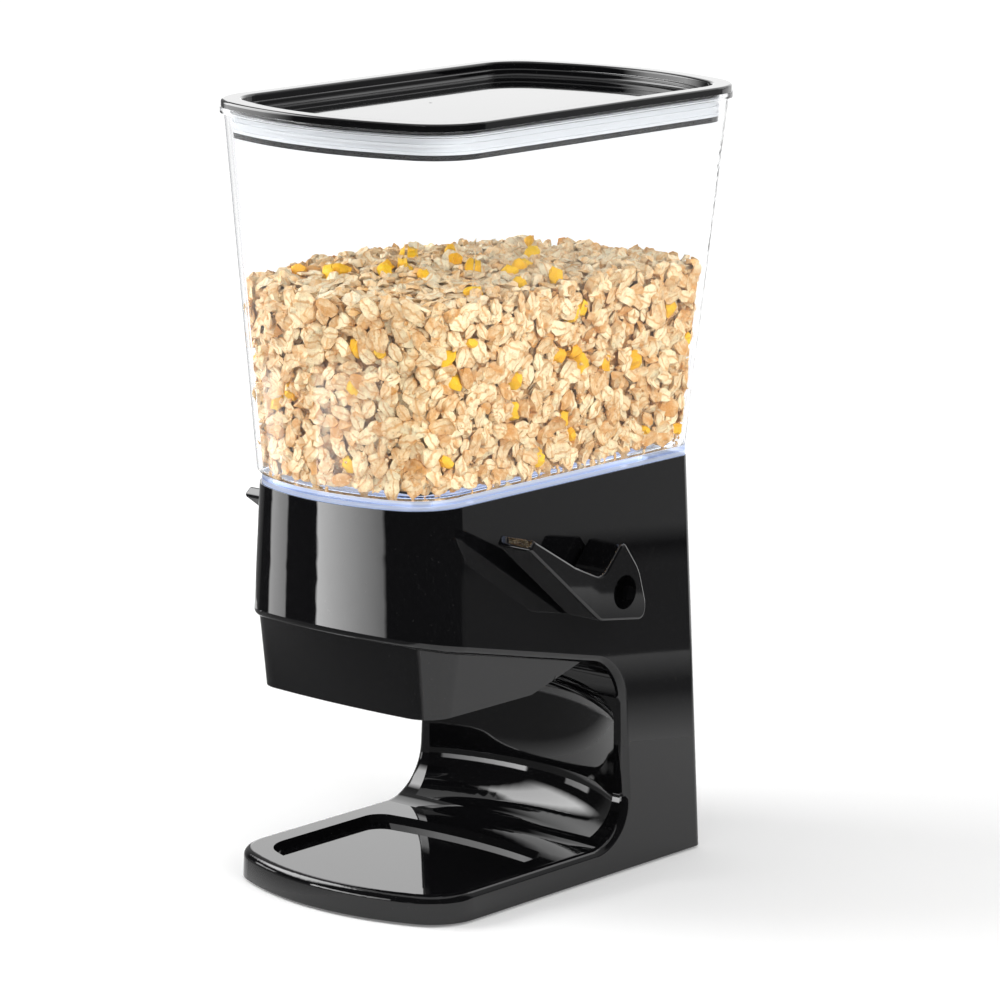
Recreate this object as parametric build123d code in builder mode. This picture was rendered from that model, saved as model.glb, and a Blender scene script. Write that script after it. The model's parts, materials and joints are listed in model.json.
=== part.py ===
from build123d import *
from math import cos, pi, radians, sin, sqrt, tan
import os

os.makedirs("parts", exist_ok=True)

# Countertop cereal dispenser, millimetres.
# X runs across the dispenser, -Y is the side that serves the bowl, +Z is up.
# The origin lies on the counter under the middle of the outline.

# Stand: bowed front, flat sides that flare towards the counter, flat back
foot_height = 1.5
stand_top = 203.0
base_width = 145.0
top_width = 122.5
base_front = -121.5
top_front = -117.5
base_bow = 20.0
top_bow = 18.0
base_front_radius = 27.0
top_front_radius = 30.0
stand_back = 91.0
back_bow = 0.2
back_radius = 5.0
shell_wall = 3.0
back_wall = 4.0
deck_thickness = 5.0
edge_radius = 4.0

# Bowl space under the spout, seen from the side
tray_top = 15.5
column_front = 31.8
spout_line_front = 139.8
spout_line_angle = 12.7
arch_radius = 24.0
tray_blend_radius = 25.0
column_scoop = 14.0
column_scoop_width = 124.0
floor_reach = 160.0

# Recess in the tray
recess_width = 118.0
recess_front = -110.0
recess_back = -6.0
recess_front_bow = 15.0
recess_back_bow = 6.0
recess_front_radius = 20.0
recess_back_radius = 12.0
recess_depth = 4.0
recess_slope = 3.0

# Spout hood
hood_bottom = 100.0
hood_bottom_width = 117.0
hood_bottom_front = -103.0
hood_bottom_bow = 3.0
hood_bottom_radius = 15.0
hood_top = 144.0
hood_inset = 1.3
hood_back = 11.0
hood_back_radius = 1.0
hood_ramp_start = -27.0
hood_ramp_end = 9.0
hood_wall = 2.5
spout_width = 94.0
spout_front = -98.0
spout_back = -4.0
spout_radius = 8.0
hood_boss_diameter = 8.0
hood_boss_length = 12.0
hood_boss_inset = 8.0
hood_boss_front = -82.0
hood_boss_back = -8.0

# Funnel under the hopper
deck_border = 13.25
mouth_width = top_width - 2 * deck_border
mouth_front = -96.0
mouth_back = 71.0
mouth_radius = 10.0
funnel_wall = 2.0
funnel_flange = 5.0
funnel_flange_thickness = 2.5
funnel_collar_bottom = 193.0
funnel_neck_top = 160.0
funnel_neck_bottom = 155.0
outlet_width = 68.0
outlet_front = -60.0
outlet_back = -4.0
outlet_radius = 5.0
fit_gap = 0.3

# Lid
lid_top = 390.0
lid_width = 160.0
lid_length = 253.0
lid_bow = 19.0
lid_radius = 32.0
lid_rim = 9.0
lid_ledge_depth = 3.5
lid_ledge_width = 2.0
lid_recess_depth = 7.0
lid_floor_thickness = 2.5
plug_bottom = 372.2
plug_gap = 3.4
plug_wall = 2.5
plug_lip_height = 2.6
plug_lip_reach = 2.6
lid_edge_radius = 1.4
lid_ledge_radius = 0.8
lid_recess_radius = 1.8
lid_seal_thickness = 1.6
lid_seal_height = 9.0
lid_seal_ribs = 3
lid_seal_rib_height = 1.4
lid_seal_rib_pitch = 3.6
lid_seal_rib_reach = 1.0
vent_diameter = 1.6
vent_x = -21.5
vent_y = -12.5

# Hopper
hopper_floor = 207.5
hopper_top = 386.5
hopper_lip_width = 1.5
hopper_overhang = 0.5
hopper_rear_overhang = 2.0
hopper_bottom_width = top_width + 2 * hopper_overhang
hopper_top_width = lid_width - 2 * hopper_lip_width
hopper_bottom_front = top_front - hopper_overhang
hopper_top_front = hopper_lip_width - lid_length / 2
hopper_bottom_back = stand_back + hopper_rear_overhang
hopper_top_back = lid_length / 2 - hopper_lip_width
hopper_bottom_bow = 17.5
hopper_top_bow = 18.0
hopper_bottom_back_bow = 3.0
hopper_top_back_bow = 18.0
hopper_bottom_radius = 29.0
hopper_top_radius = 30.0
hopper_bottom_back_radius = 7.0
hopper_wall = 2.2
hopper_foot_inset = 1.0
hopper_lip_height = 3.0
hopper_edge_radius = 3.5
spigot_gap = 2.0
spigot_bottom = 196.0
spigot_wall = 2.2
hopper_seal_bottom = 198.5
hopper_seal_height = 2.5
seal_gap = 0.1

# Lever shaft, in the side walls
pivot_y = 8.4
pivot_z = 150.2
shaft_diameter = 8.0
shaft_flat = 1.0
bush_diameter = 13.0
bush_recess = 1.4
bush_length = 10.8
bush_flange_diameter = 16.0
bush_flange_thickness = 1.5
bush_boss_diameter = 19.0
bush_bore_gap = 0.05
clip_diameter = 12.0
clip_groove_diameter = 6.6
clip_thickness = 0.8
clip_side_gap = 0.3

# Side levers
lever_gap = 2.3
lever_width = 21.5
lever_splay = 7.0
lever_bend = -22.0
lever_bend_radius = 60.0
# Corners of the lever seen from the side: depth and height from the pivot, and corner radius
lever_corners = (
    (-79.1, 34.9, 1.5),
    (-75.1, 38.9, 1.2),
    (-39.6, 19.6, 20.0),
    (-16.4, 10.0, 7.0),
    (-2.9, 24.0, 1.2),
    (0.6, 24.2, 2.0),
    (11.4, 9.6, 25.0),
    (16.6, -8.0, 10.0),
    (15.4, -16.5, 4.5),
    (-18.0, -11.5, 8.0),
)
lever_bore_diameter = 17.0
lever_bore_depth = 12.0
lever_edge_radius = 1.4
lever_screw_diameter = 3.0
lever_screw_head_diameter = 7.0
lever_screw_head_height = 2.5
lever_screw_length = 10.0
lever_web = 2.0

# Flap that closes the funnel
flap_width = 84.0
flap_front = -66.0
flap_thickness = 3.0
flap_pad_margin = 2.0
flap_hub_diameter = 14.0
flap_hub_width = 80.0
flap_rib_height = 6.0
flap_rib_width = 2.5
flap_rib_x = 30.0
tail_reach = 29.0
tail_width = 12.0
tail_thickness = 3.0
tail_x = 22.0
flap_corner = 4.0
grub_diameter = 3.0
grub_length = 2.8
grub_x = 8.0

# Return springs
spring_y = 30.5
spring_radius = 4.2
spring_wire = 1.2
spring_turns = 5
spring_bottom = 151.6
spring_top = 170.6
spring_seat_size = 12.0
spring_seat_rise = 6.0

# Back cover
window_width = 92.0
window_bottom = 16.0
window_top = 186.0
window_radius = 6.0
cover_margin = 6.0
cover_thickness = 1.8
cover_screw_heights = (25.0, 101.0, 177.0)
cover_boss_length = 9.0

# Base plate and feet
base_plate_thickness = 2.5
base_plate_gap = 0.3
base_boss_diameter = 9.0
# Bosses of the base screws: distance in from the widest side, depth and height
base_bosses = ((22.5, -72.0, 5.5), (7.5, 83.0, 14.0))
base_screw_length = 7.0
base_screw_head_height = 1.2
foot_diameter = 14.0
foot_inset = 18.5
foot_front = -86.0
foot_back = 78.0

# Screws
screw_diameter = 3.0
screw_head_diameter = 5.4
screw_head_height = 1.8
screw_length = 9.0
screw_hole_gap = 0.1
funnel_screw_diameter = 2.4
funnel_screw_head_diameter = 4.2
funnel_screw_head_height = 1.2
funnel_screw_length = 5.0
funnel_screw_front = -70.0
funnel_screw_back = 45.0

# Sloped line where the stand ends over the bowl space
spout_slope = tan(radians(spout_line_angle))


def between(low, high, share):
    """Value a share of the way from low to high."""
    return low + (high - low) * share


def spout_line(y):
    """Height of the stand's lower edge over the bowl space at a depth y."""
    return spout_line_front - spout_slope * (y - base_front)


def bowed_face(width, front, back, front_bow, rear_bow, front_radius, rear_radius):
    """Outline with bowed ends, straight sides and rounded corners, in the XY plane."""
    half = width / 2
    with BuildSketch() as outline:
        with BuildLine():
            ThreePointArc((-half, front + front_bow), (0, front), (half, front + front_bow))
            Line((half, front + front_bow), (half, back - rear_bow))
            ThreePointArc((half, back - rear_bow), (0, back), (-half, back - rear_bow))
            Line((-half, back - rear_bow), (-half, front + front_bow))
        make_face()
        fillet(outline.vertices().group_by(Axis.Y)[0], front_radius)
        fillet(outline.vertices().group_by(Axis.Y)[-1], rear_radius)
    return outline.sketch


def box_face(width, front, back, radius):
    """Rounded rectangle between two depths, in the XY plane."""
    with BuildSketch() as outline:
        with Locations((0, (front + back) / 2)):
            RectangleRounded(width, back - front, radius)
    return outline.sketch


def stand_face(height, inset=0.0, rear_inset=0.0):
    """Outline of the stand at a height, shrunk by an inset."""
    share = height / stand_top
    return bowed_face(
        between(base_width, top_width, share) - 2 * inset,
        between(base_front, top_front, share) + inset,
        stand_back - rear_inset,
        between(base_bow, top_bow, share),
        back_bow,
        between(base_front_radius, top_front_radius, share) - inset,
        back_radius - min(inset, back_radius - 1),
    )


def hopper_face(height, inset=0.0):
    """Outline of the hopper at a height, shrunk by an inset."""
    share = (height - hopper_floor) / (hopper_top - hopper_floor)
    return bowed_face(
        between(hopper_bottom_width, hopper_top_width, share) - 2 * inset,
        between(hopper_bottom_front, hopper_top_front, share) + inset,
        between(hopper_bottom_back, hopper_top_back, share) - inset,
        between(hopper_bottom_bow, hopper_top_bow, share),
        between(hopper_bottom_back_bow, hopper_top_back_bow, share),
        between(hopper_bottom_radius, hopper_top_radius, share) - inset,
        between(hopper_bottom_back_radius, hopper_top_radius, share) - inset,
    )


def lid_face(inset=0.0):
    """Outline of the lid, shrunk by an inset."""
    return bowed_face(
        lid_width - 2 * inset,
        -lid_length / 2 + inset,
        lid_length / 2 - inset,
        lid_bow,
        lid_bow,
        lid_radius - inset,
        lid_radius - inset,
    )


def hood_top_size():
    """Width of the spout hood where it meets the stand."""
    return between(base_width, top_width, hood_top / stand_top) - 2 * hood_inset


def hood_face(height, inset=0.0):
    """Outline of the spout hood at a height, shrunk by an inset."""
    share = (height - hood_bottom) / (hood_top - hood_bottom)
    top_edge = between(base_front, top_front, hood_top / stand_top) + hood_inset
    return bowed_face(
        between(hood_bottom_width, hood_top_size(), share) - 2 * inset,
        between(hood_bottom_front, top_edge, share) + inset,
        hood_back,
        between(hood_bottom_bow, base_bow - hood_inset, share),
        back_bow,
        between(hood_bottom_radius, base_front_radius, share) - inset,
        hood_back_radius,
    )


def bowl_profile(offset):
    """Side profile of the bowl space, grown by an offset, in the YZ plane."""
    floor = tray_top - offset
    wall = column_front + offset
    rise = offset / cos(radians(spout_line_angle))
    with BuildSketch() as profile:
        with BuildLine():
            Polyline(
                (-floor_reach, floor),
                (wall, floor),
                (wall, spout_line(wall) + rise),
                (-floor_reach, spout_line(-floor_reach) + rise),
                close=True,
            )
        make_face()
        rear = profile.vertices().group_by(Axis.X)[-1].sort_by(Axis.Y)
        fillet(rear[0], tray_blend_radius + offset)
        top_corner = profile.vertices().filter_by(
            lambda v: abs(v.X - wall) < 0.01 and v.Y > pivot_z / 2
        )
        fillet(top_corner, arch_radius + offset)
    return profile.sketch


# The scoop in the column is a turned surface about an upright axis in front of it
scoop_radius = ((column_scoop_width / 2) ** 2 + column_scoop**2) / (2 * column_scoop)
scoop_axis_y = column_front + column_scoop - scoop_radius
scoop_top = spout_line(column_front + column_scoop) - arch_radius / 4


def scoop_profile(offset):
    """Half profile of the turned scoop, grown by an offset, in the YZ plane."""
    floor = tray_top - offset
    ceiling = scoop_top + offset
    wall = scoop_axis_y + scoop_radius + offset
    with BuildSketch() as profile:
        with BuildLine():
            Polyline(
                (scoop_axis_y, floor), (wall, floor), (wall, ceiling), (scoop_axis_y, ceiling), close=True
            )
        make_face()
        rear = profile.vertices().group_by(Axis.X)[-1].sort_by(Axis.Y)
        fillet(rear[0], tray_blend_radius + offset)
        upper = profile.vertices().sort_by(Axis.Y)[-2:].sort_by(Axis.X)
        fillet(upper[-1], arch_radius - edge_radius + offset)
    return profile.sketch


def bowl_space(offset):
    """Solid of the bowl space without the scoop, grown by an offset."""
    with BuildPart() as space:
        with BuildSketch(Plane.YZ):
            add(bowl_profile(offset))
        extrude(amount=base_width, both=True)
    return space.part


def scoop_space(offset):
    """Solid of the scoop in the column, grown by an offset."""
    with BuildPart() as space:
        with BuildSketch(Plane.YZ):
            add(scoop_profile(offset))
        revolve(axis=Axis((0, scoop_axis_y, 0), (0, 0, 1)))
        with Locations((0, column_front + scoop_radius / 2, (tray_top + scoop_top) / 2)):
            Box(
                column_scoop_width + 2 * offset,
                scoop_radius + 2 * column_scoop,
                2 * stand_top,
                mode=Mode.INTERSECT,
            )
    return space.part


def recess_space(offset):
    """Solid of the recess in the tray, grown by an offset."""
    floor = tray_top - recess_depth - offset
    with BuildPart() as space:
        for height, inset in ((floor, recess_slope - offset), (tray_top + edge_radius, -offset)):
            with BuildSketch(Plane.XY.offset(height)):
                add(
                    bowed_face(
                        recess_width - 2 * inset,
                        recess_front + inset,
                        recess_back - inset,
                        recess_front_bow,
                        recess_back_bow,
                        recess_front_radius - inset,
                        recess_back_radius - inset,
                    )
                )
        loft(ruled=True)
    return space.part


def plug_face(inset=0.0):
    """Outline of the plug of the lid, shrunk by an inset."""
    return hopper_face(plug_bottom, hopper_wall + plug_gap + inset)


def lever_face():
    """Side profile of a lever with its rounded corners."""
    with BuildSketch() as profile:
        with BuildLine():
            Polyline(*[(pivot_y + y, pivot_z + z) for y, z, radius in lever_corners], close=True)
        make_face()
        for y, z, radius in lever_corners:
            corner = profile.vertices().sort_by_distance((pivot_y + y, pivot_z + z, 0))[0]
            fillet(corner, radius)
    return profile.sketch


def lever_plan(inner_face, side):
    """Outline of a lever seen from above: the hub runs straight and the arm splays outwards."""
    outer_face = inner_face + lever_width
    back = pivot_y + lever_width
    bend = pivot_y + lever_bend
    front = pivot_y + lever_corners[0][0] - lever_width
    rise = (bend - front) * tan(radians(lever_splay))
    with BuildSketch() as plan:
        with BuildLine():
            Polyline(
                (side * inner_face, back),
                (side * inner_face, bend),
                (side * (inner_face + rise), front),
                (side * (outer_face + rise), front),
                (side * outer_face, bend),
                (side * outer_face, back),
                close=True,
            )
        make_face()
        for face_x in (inner_face, outer_face):
            kink = plan.vertices().sort_by_distance((side * face_x, bend, 0))[0]
            fillet(kink, lever_bend_radius)
    return plan.sketch


def mouth_face(outset):
    """Outline of the funnel's mouth, grown by an outset."""
    return box_face(
        mouth_width + 2 * outset, mouth_front - outset, mouth_back + outset, mouth_radius + outset
    )


def outlet_face(outset):
    """Outline of the funnel's outlet, grown by an outset."""
    return box_face(
        outlet_width + 2 * outset, outlet_front - outset, outlet_back + outset, outlet_radius + outset
    )


def cover_face(margin):
    """Outline of the back window grown by a margin, as seen from the front."""
    with BuildSketch() as outline:
        with Locations((0, (window_bottom + window_top) / 2)):
            RectangleRounded(
                window_width + 2 * margin, window_top - window_bottom + 2 * margin, window_radius + margin
            )
    return outline.sketch


def side_face(*corners):
    """Polygon in the side view, from depths and heights."""
    with BuildSketch() as outline:
        with BuildLine():
            Polyline(*corners, close=True)
        make_face()
    return outline.sketch


def stand_cavity():
    """Hollow of the stand under its deck, clear of the walls round the bowl space."""
    with BuildPart() as cavity:
        for height in (foot_height - 1, deck_bottom):
            with BuildSketch(Plane.XY.offset(height)):
                add(stand_face(height, shell_wall, back_wall))
        loft(ruled=True)
        for space in (bowl_space, scoop_space, recess_space):
            add(space(shell_wall), mode=Mode.SUBTRACT)
    return cavity.part


def screw_holes(planes, diameter, depth):
    """Cut round holes against the normals of the planes in the part that is open."""
    for plane in planes:
        with BuildSketch(plane) as hole:
            Circle(diameter / 2)
        extrude(hole.sketch, amount=-depth, mode=Mode.SUBTRACT)


def screw_group(planes, head_diameter, head_height, diameter, length):
    """Pan-head screws whose heads sit on the planes, as separate solids."""
    with BuildPart() as group:
        for plane in planes:
            with BuildSketch(plane):
                Circle(head_diameter / 2)
            extrude(amount=head_height)
            with BuildSketch(plane):
                Circle(diameter / 2)
            extrude(amount=-length)
    return group.part


def spring_path(radius, height, turns):
    """Centre line of a coil spring: two tangent arcs for each quarter turn."""
    quarters = 4 * turns
    rise = height / quarters

    def point(index):
        angle = index * pi / 2
        return Vector(radius * cos(angle), radius * sin(angle), rise * index)

    def direction(index):
        angle = index * pi / 2
        return Vector(-radius * sin(angle), radius * cos(angle), 2 * rise / pi).normalized()

    with BuildLine() as path:
        for index in range(quarters):
            start, end = point(index), point(index + 1)
            out, into = direction(index), direction(index + 1)
            chord = end - start
            # Equal arms of the two arcs, from the chord and the end directions
            bend = 2 - 2 * out.dot(into)
            along = 2 * chord.dot(out + into)
            arm = (-along + sqrt(along**2 + 4 * bend * chord.dot(chord))) / (2 * bend)
            middle = (start + end) * 0.5 + (out - into) * (arm / 2)
            TangentArc(start, middle, tangent=out)
            TangentArc(end, middle, tangent=-into)
    return path.line


def least_gap(radius, height, turns, wire):
    """Least gap between the turns of a coil spring, measured on points."""
    steps = 48
    points = [
        (
            radius * cos(2 * pi * i / steps),
            radius * sin(2 * pi * i / steps),
            height * i / (steps * turns),
        )
        for i in range(steps * turns + 1)
    ]
    least = min(
        sqrt(sum((a - b) ** 2 for a, b in zip(first, second)))
        for i, first in enumerate(points)
        for second in points[i + steps // 2 :]
    )
    return least - wire


def finish(piece, name):
    """Label a finished piece and write it under its name."""
    piece.label = name
    export_step(piece, f"parts/{name}.step")


# Planes of the fasteners
deck_bottom = stand_top - deck_thickness
plate_top = foot_height + base_plate_thickness
side_at_pivot = between(base_width, top_width, pivot_z / stand_top) / 2
bush_outer_end = side_at_pivot - bush_recess
bush_inner_end = bush_outer_end - bush_length
lever_inner_face = side_at_pivot + lever_gap
hood_boss_x = hood_top_size() / 2 - hood_boss_inset
tilt = radians(spout_line_angle)
spout_plane = Plane(origin=(0, 0, spout_line(0)), x_dir=(1, 0, 0), z_dir=(0, sin(tilt), cos(tilt)))
hood_boss_spots = [
    (x, y / cos(tilt)) for x in (-hood_boss_x, hood_boss_x) for y in (hood_boss_front, hood_boss_back)
]
hood_screw_planes = [
    Plane(
        origin=spout_plane.from_local_coords((x, y, shell_wall)), x_dir=(1, 0, 0), z_dir=spout_plane.z_dir
    )
    for x, y in hood_boss_spots
]
cover_face_y = stand_back - back_bow
cover_screw_x = window_width / 2 + cover_margin / 2
cover_screw_planes = [
    Plane(origin=(x, cover_face_y, z), x_dir=(-1, 0, 0), z_dir=(0, 1, 0))
    for x in (-cover_screw_x, cover_screw_x)
    for z in cover_screw_heights
]
base_screw_planes = [
    Plane(origin=(side * (base_width / 2 - inset), y, foot_height), x_dir=(1, 0, 0), z_dir=(0, 0, -1))
    for side in (-1, 1)
    for inset, y, rise in base_bosses
]
funnel_screw_x = mouth_width / 2 + funnel_wall + funnel_flange / 2
funnel_screw_seat = stand_top - funnel_screw_head_height - screw_hole_gap
funnel_screw_planes = [
    Plane(origin=(x, y, funnel_screw_seat), x_dir=(1, 0, 0), z_dir=(0, 0, 1))
    for x in (-funnel_screw_x, funnel_screw_x)
    for y in (funnel_screw_front, funnel_screw_back)
]
bush_boss_end = bush_inner_end + bush_flange_thickness

# Stand shell: walls, deck, column and tray in one moulding
with BuildPart() as body_shell:
    with BuildSketch(Plane.XY.offset(foot_height)):
        add(stand_face(foot_height))
    with BuildSketch(Plane.XY.offset(stand_top)):
        add(stand_face(stand_top))
    loft(ruled=True)
    add(bowl_space(0), mode=Mode.SUBTRACT)
    fillet(body_shell.edges(Select.LAST), edge_radius)
    add(scoop_space(0), mode=Mode.SUBTRACT)
    add(recess_space(0), mode=Mode.SUBTRACT)
    # Hollow inside, open below
    add(stand_cavity(), mode=Mode.SUBTRACT)
    # Opening for the spout in the sloped plate
    with BuildSketch(Plane.XY.offset(hood_bottom)):
        add(box_face(spout_width, spout_front, spout_back, spout_radius))
    extrude(amount=hood_top - hood_bottom + shell_wall, mode=Mode.SUBTRACT)
    # Deck opening and its rebate for the funnel flange
    with BuildSketch(Plane.XY.offset(stand_top)):
        add(mouth_face(funnel_wall + fit_gap))
    extrude(amount=-2 * deck_thickness, mode=Mode.SUBTRACT)
    with BuildSketch(Plane.XY.offset(stand_top)):
        add(mouth_face(funnel_wall + funnel_flange + fit_gap))
    extrude(amount=-funnel_flange_thickness, mode=Mode.SUBTRACT)
    # Bosses of the bushes, the back cover and the base plate
    for side in (-1, 1):
        with BuildSketch(Plane.YZ.offset(side * bush_boss_end)):
            with Locations((pivot_y, pivot_z)):
                Circle(bush_boss_diameter / 2)
        extrude(amount=side * (bush_outer_end - bush_boss_end - 1))
        with BuildSketch(Plane.YZ.offset(side * bush_inner_end)):
            with Locations((pivot_y, pivot_z)):
                Circle(bush_diameter / 2)
        extrude(amount=side * (bush_length + 2 * shell_wall), mode=Mode.SUBTRACT)
    for plane in cover_screw_planes:
        with BuildSketch(plane.offset(-cover_thickness)):
            Circle(base_boss_diameter / 2)
        extrude(amount=-cover_boss_length)
    for inset, y, rise in base_bosses:
        x = base_width / 2 - inset
        with BuildSketch(Plane.XY.offset(plate_top)):
            with Locations((-x, y), (x, y)):
                Circle(base_boss_diameter / 2)
        extrude(amount=rise)
    # Window and rebate for the back cover
    with BuildSketch(Plane.XZ.offset(-stand_back - 1)):
        with Locations((0, (window_bottom + window_top) / 2)):
            RectangleRounded(window_width, window_top - window_bottom, window_radius)
    extrude(amount=back_wall + 2, mode=Mode.SUBTRACT)
    with BuildSketch(Plane.XZ.offset(-stand_back - 1)):
        add(cover_face(cover_margin + fit_gap))
    extrude(amount=1 + back_bow + cover_thickness, mode=Mode.SUBTRACT)
    screw_holes(cover_screw_planes, screw_diameter + screw_hole_gap, screw_length + 1)
    screw_holes(hood_screw_planes, screw_diameter + screw_hole_gap, 2 * shell_wall)
    screw_holes(base_screw_planes, screw_diameter + screw_hole_gap, base_screw_length + screw_hole_gap)
    screw_holes(funnel_screw_planes, funnel_screw_diameter + screw_hole_gap, 2 * deck_thickness)

with BuildPart() as back_cover:
    with BuildSketch(Plane.XZ.offset(back_bow - stand_back)):
        add(cover_face(cover_margin))
    extrude(amount=cover_thickness)
    screw_holes(cover_screw_planes, screw_diameter + screw_hole_gap, 2 * cover_thickness)

cover_screws = screw_group(
    cover_screw_planes, screw_head_diameter, screw_head_height, screw_diameter, screw_length
)

# Base plate with its screws, and four rubber feet
with BuildPart() as base_plate:
    with BuildSketch(Plane.XY.offset(foot_height)):
        add(stand_face(foot_height, shell_wall + base_plate_gap, back_wall + base_plate_gap))
    extrude(amount=base_plate_thickness)
    screw_holes(base_screw_planes, screw_diameter + screw_hole_gap, 2 * base_plate_thickness)

base_screws = screw_group(
    base_screw_planes, screw_head_diameter, base_screw_head_height, screw_diameter, base_screw_length
)

feet = {}
foot_x = base_width / 2 - foot_inset
for row, y in (("front", foot_front), ("back", foot_back)):
    for side, x in (("left", -foot_x), ("right", foot_x)):
        with BuildPart() as foot:
            with BuildSketch():
                with Locations((x, y)):
                    Circle(foot_diameter / 2)
            extrude(amount=foot_height)
        feet[f"foot_{row}_{side}"] = foot.part

# Spout hood under the sloped line of the stand
with BuildPart() as hood:
    for height in (hood_bottom, hood_top):
        with BuildSketch(Plane.XY.offset(height)):
            add(hood_face(height))
    loft(ruled=True)
    for height in (hood_bottom, hood_top):
        with BuildSketch(Plane.XY.offset(height)):
            add(hood_face(height, hood_wall))
    loft(ruled=True, mode=Mode.SUBTRACT)
    for x, y in hood_boss_spots:
        with BuildSketch(spout_plane):
            with Locations((x, y)):
                Circle(hood_boss_diameter / 2)
        extrude(amount=-hood_boss_length)
    # Back wall of the spout
    with BuildSketch(Plane.YZ):
        add(
            side_face(
                (spout_back, hood_bottom),
                (spout_back, hood_top),
                (spout_back + hood_wall, hood_top),
                (spout_back + hood_wall, hood_bottom),
            )
        )
    extrude(amount=hood_bottom_width / 2, both=True)
    # Everything above the sloped line, and the ramp at the back, is cut away
    with BuildSketch(Plane.YZ):
        add(
            side_face(
                (-floor_reach, spout_line(-floor_reach)),
                (floor_reach, spout_line(floor_reach)),
                (floor_reach, stand_top),
                (-floor_reach, stand_top),
            )
        )
    extrude(amount=base_width, both=True, mode=Mode.SUBTRACT)
    with BuildSketch(Plane.YZ):
        add(
            side_face(
                (hood_ramp_start, 0),
                (hood_ramp_start, hood_bottom),
                (hood_ramp_end, spout_line(hood_ramp_end)),
                (stand_back, spout_line(hood_ramp_end)),
                (stand_back, 0),
            )
        )
    extrude(amount=base_width, both=True, mode=Mode.SUBTRACT)
    screw_holes(hood_screw_planes, screw_diameter + screw_hole_gap, screw_length + 1)

hood_screws = screw_group(
    hood_screw_planes, screw_head_diameter, screw_head_height, screw_diameter, screw_length
)

# Funnel: flange in the deck, straight collar, sloped walls and a short neck
with BuildPart() as funnel:
    with BuildSketch(Plane.XY.offset(stand_top)):
        add(mouth_face(funnel_wall + funnel_flange))
    extrude(amount=-funnel_flange_thickness)
    for wall in (funnel_wall, 0):
        mode = Mode.ADD if wall else Mode.SUBTRACT
        if wall:
            # Seats of the return springs, under the long slope
            with BuildSketch(Plane.XY.offset(spring_top)):
                with Locations((-tail_x, spring_y), (tail_x, spring_y)):
                    Rectangle(spring_seat_size, spring_seat_size)
            extrude(amount=spring_seat_rise)
        with BuildSketch(Plane.XY.offset(stand_top)):
            add(mouth_face(wall))
        extrude(amount=funnel_collar_bottom - stand_top, mode=mode)
        with BuildSketch(Plane.XY.offset(funnel_collar_bottom)):
            add(mouth_face(wall))
        with BuildSketch(Plane.XY.offset(funnel_neck_top)):
            add(outlet_face(wall))
        loft(ruled=True, mode=mode)
        with BuildSketch(Plane.XY.offset(funnel_neck_top)):
            add(outlet_face(wall))
        extrude(amount=funnel_neck_bottom - funnel_neck_top, mode=mode)
    screw_holes(funnel_screw_planes, funnel_screw_diameter + screw_hole_gap, 2 * deck_thickness)
    for plane in funnel_screw_planes:
        with BuildSketch(plane):
            Circle(funnel_screw_head_diameter / 2 + screw_hole_gap)
        extrude(amount=2 * funnel_screw_head_height, mode=Mode.SUBTRACT)

funnel_screws = screw_group(
    funnel_screw_planes,
    funnel_screw_head_diameter,
    funnel_screw_head_height,
    funnel_screw_diameter,
    funnel_screw_length,
)

# Hopper: clear flared tub with a thick foot, a rim lip and a spigot that enters the funnel
with BuildPart() as hopper:
    for height in (hopper_floor, hopper_top):
        with BuildSketch(Plane.XY.offset(height)):
            add(hopper_face(height))
    loft(ruled=True)
    fillet(hopper.faces().sort_by(Axis.Z)[0].edges(), hopper_edge_radius)
    with BuildSketch(Plane.XY.offset(stand_top)):
        add(stand_face(stand_top, hopper_foot_inset))
    extrude(amount=hopper_floor - stand_top + hopper_edge_radius)
    with BuildSketch(Plane.XY.offset(hopper_top)):
        add(hopper_face(hopper_top, -hopper_lip_width))
    extrude(amount=-hopper_lip_height)
    for height in (hopper_floor, hopper_top):
        with BuildSketch(Plane.XY.offset(height)):
            add(hopper_face(height, hopper_wall))
    loft(ruled=True, mode=Mode.SUBTRACT)
    with BuildSketch(Plane.XY.offset(spigot_bottom)):
        add(mouth_face(-spigot_gap))
    extrude(amount=stand_top - spigot_bottom)
    with BuildSketch(Plane.XY.offset(spigot_bottom)):
        add(mouth_face(-spigot_gap - spigot_wall))
    extrude(amount=hopper_floor - spigot_bottom, mode=Mode.SUBTRACT)

with BuildPart() as hopper_seal:
    with BuildSketch(Plane.XY.offset(hopper_seal_bottom)):
        add(mouth_face(-fit_gap))
        add(mouth_face(seal_gap - spigot_gap), mode=Mode.SUBTRACT)
    extrude(amount=hopper_seal_height)

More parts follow.
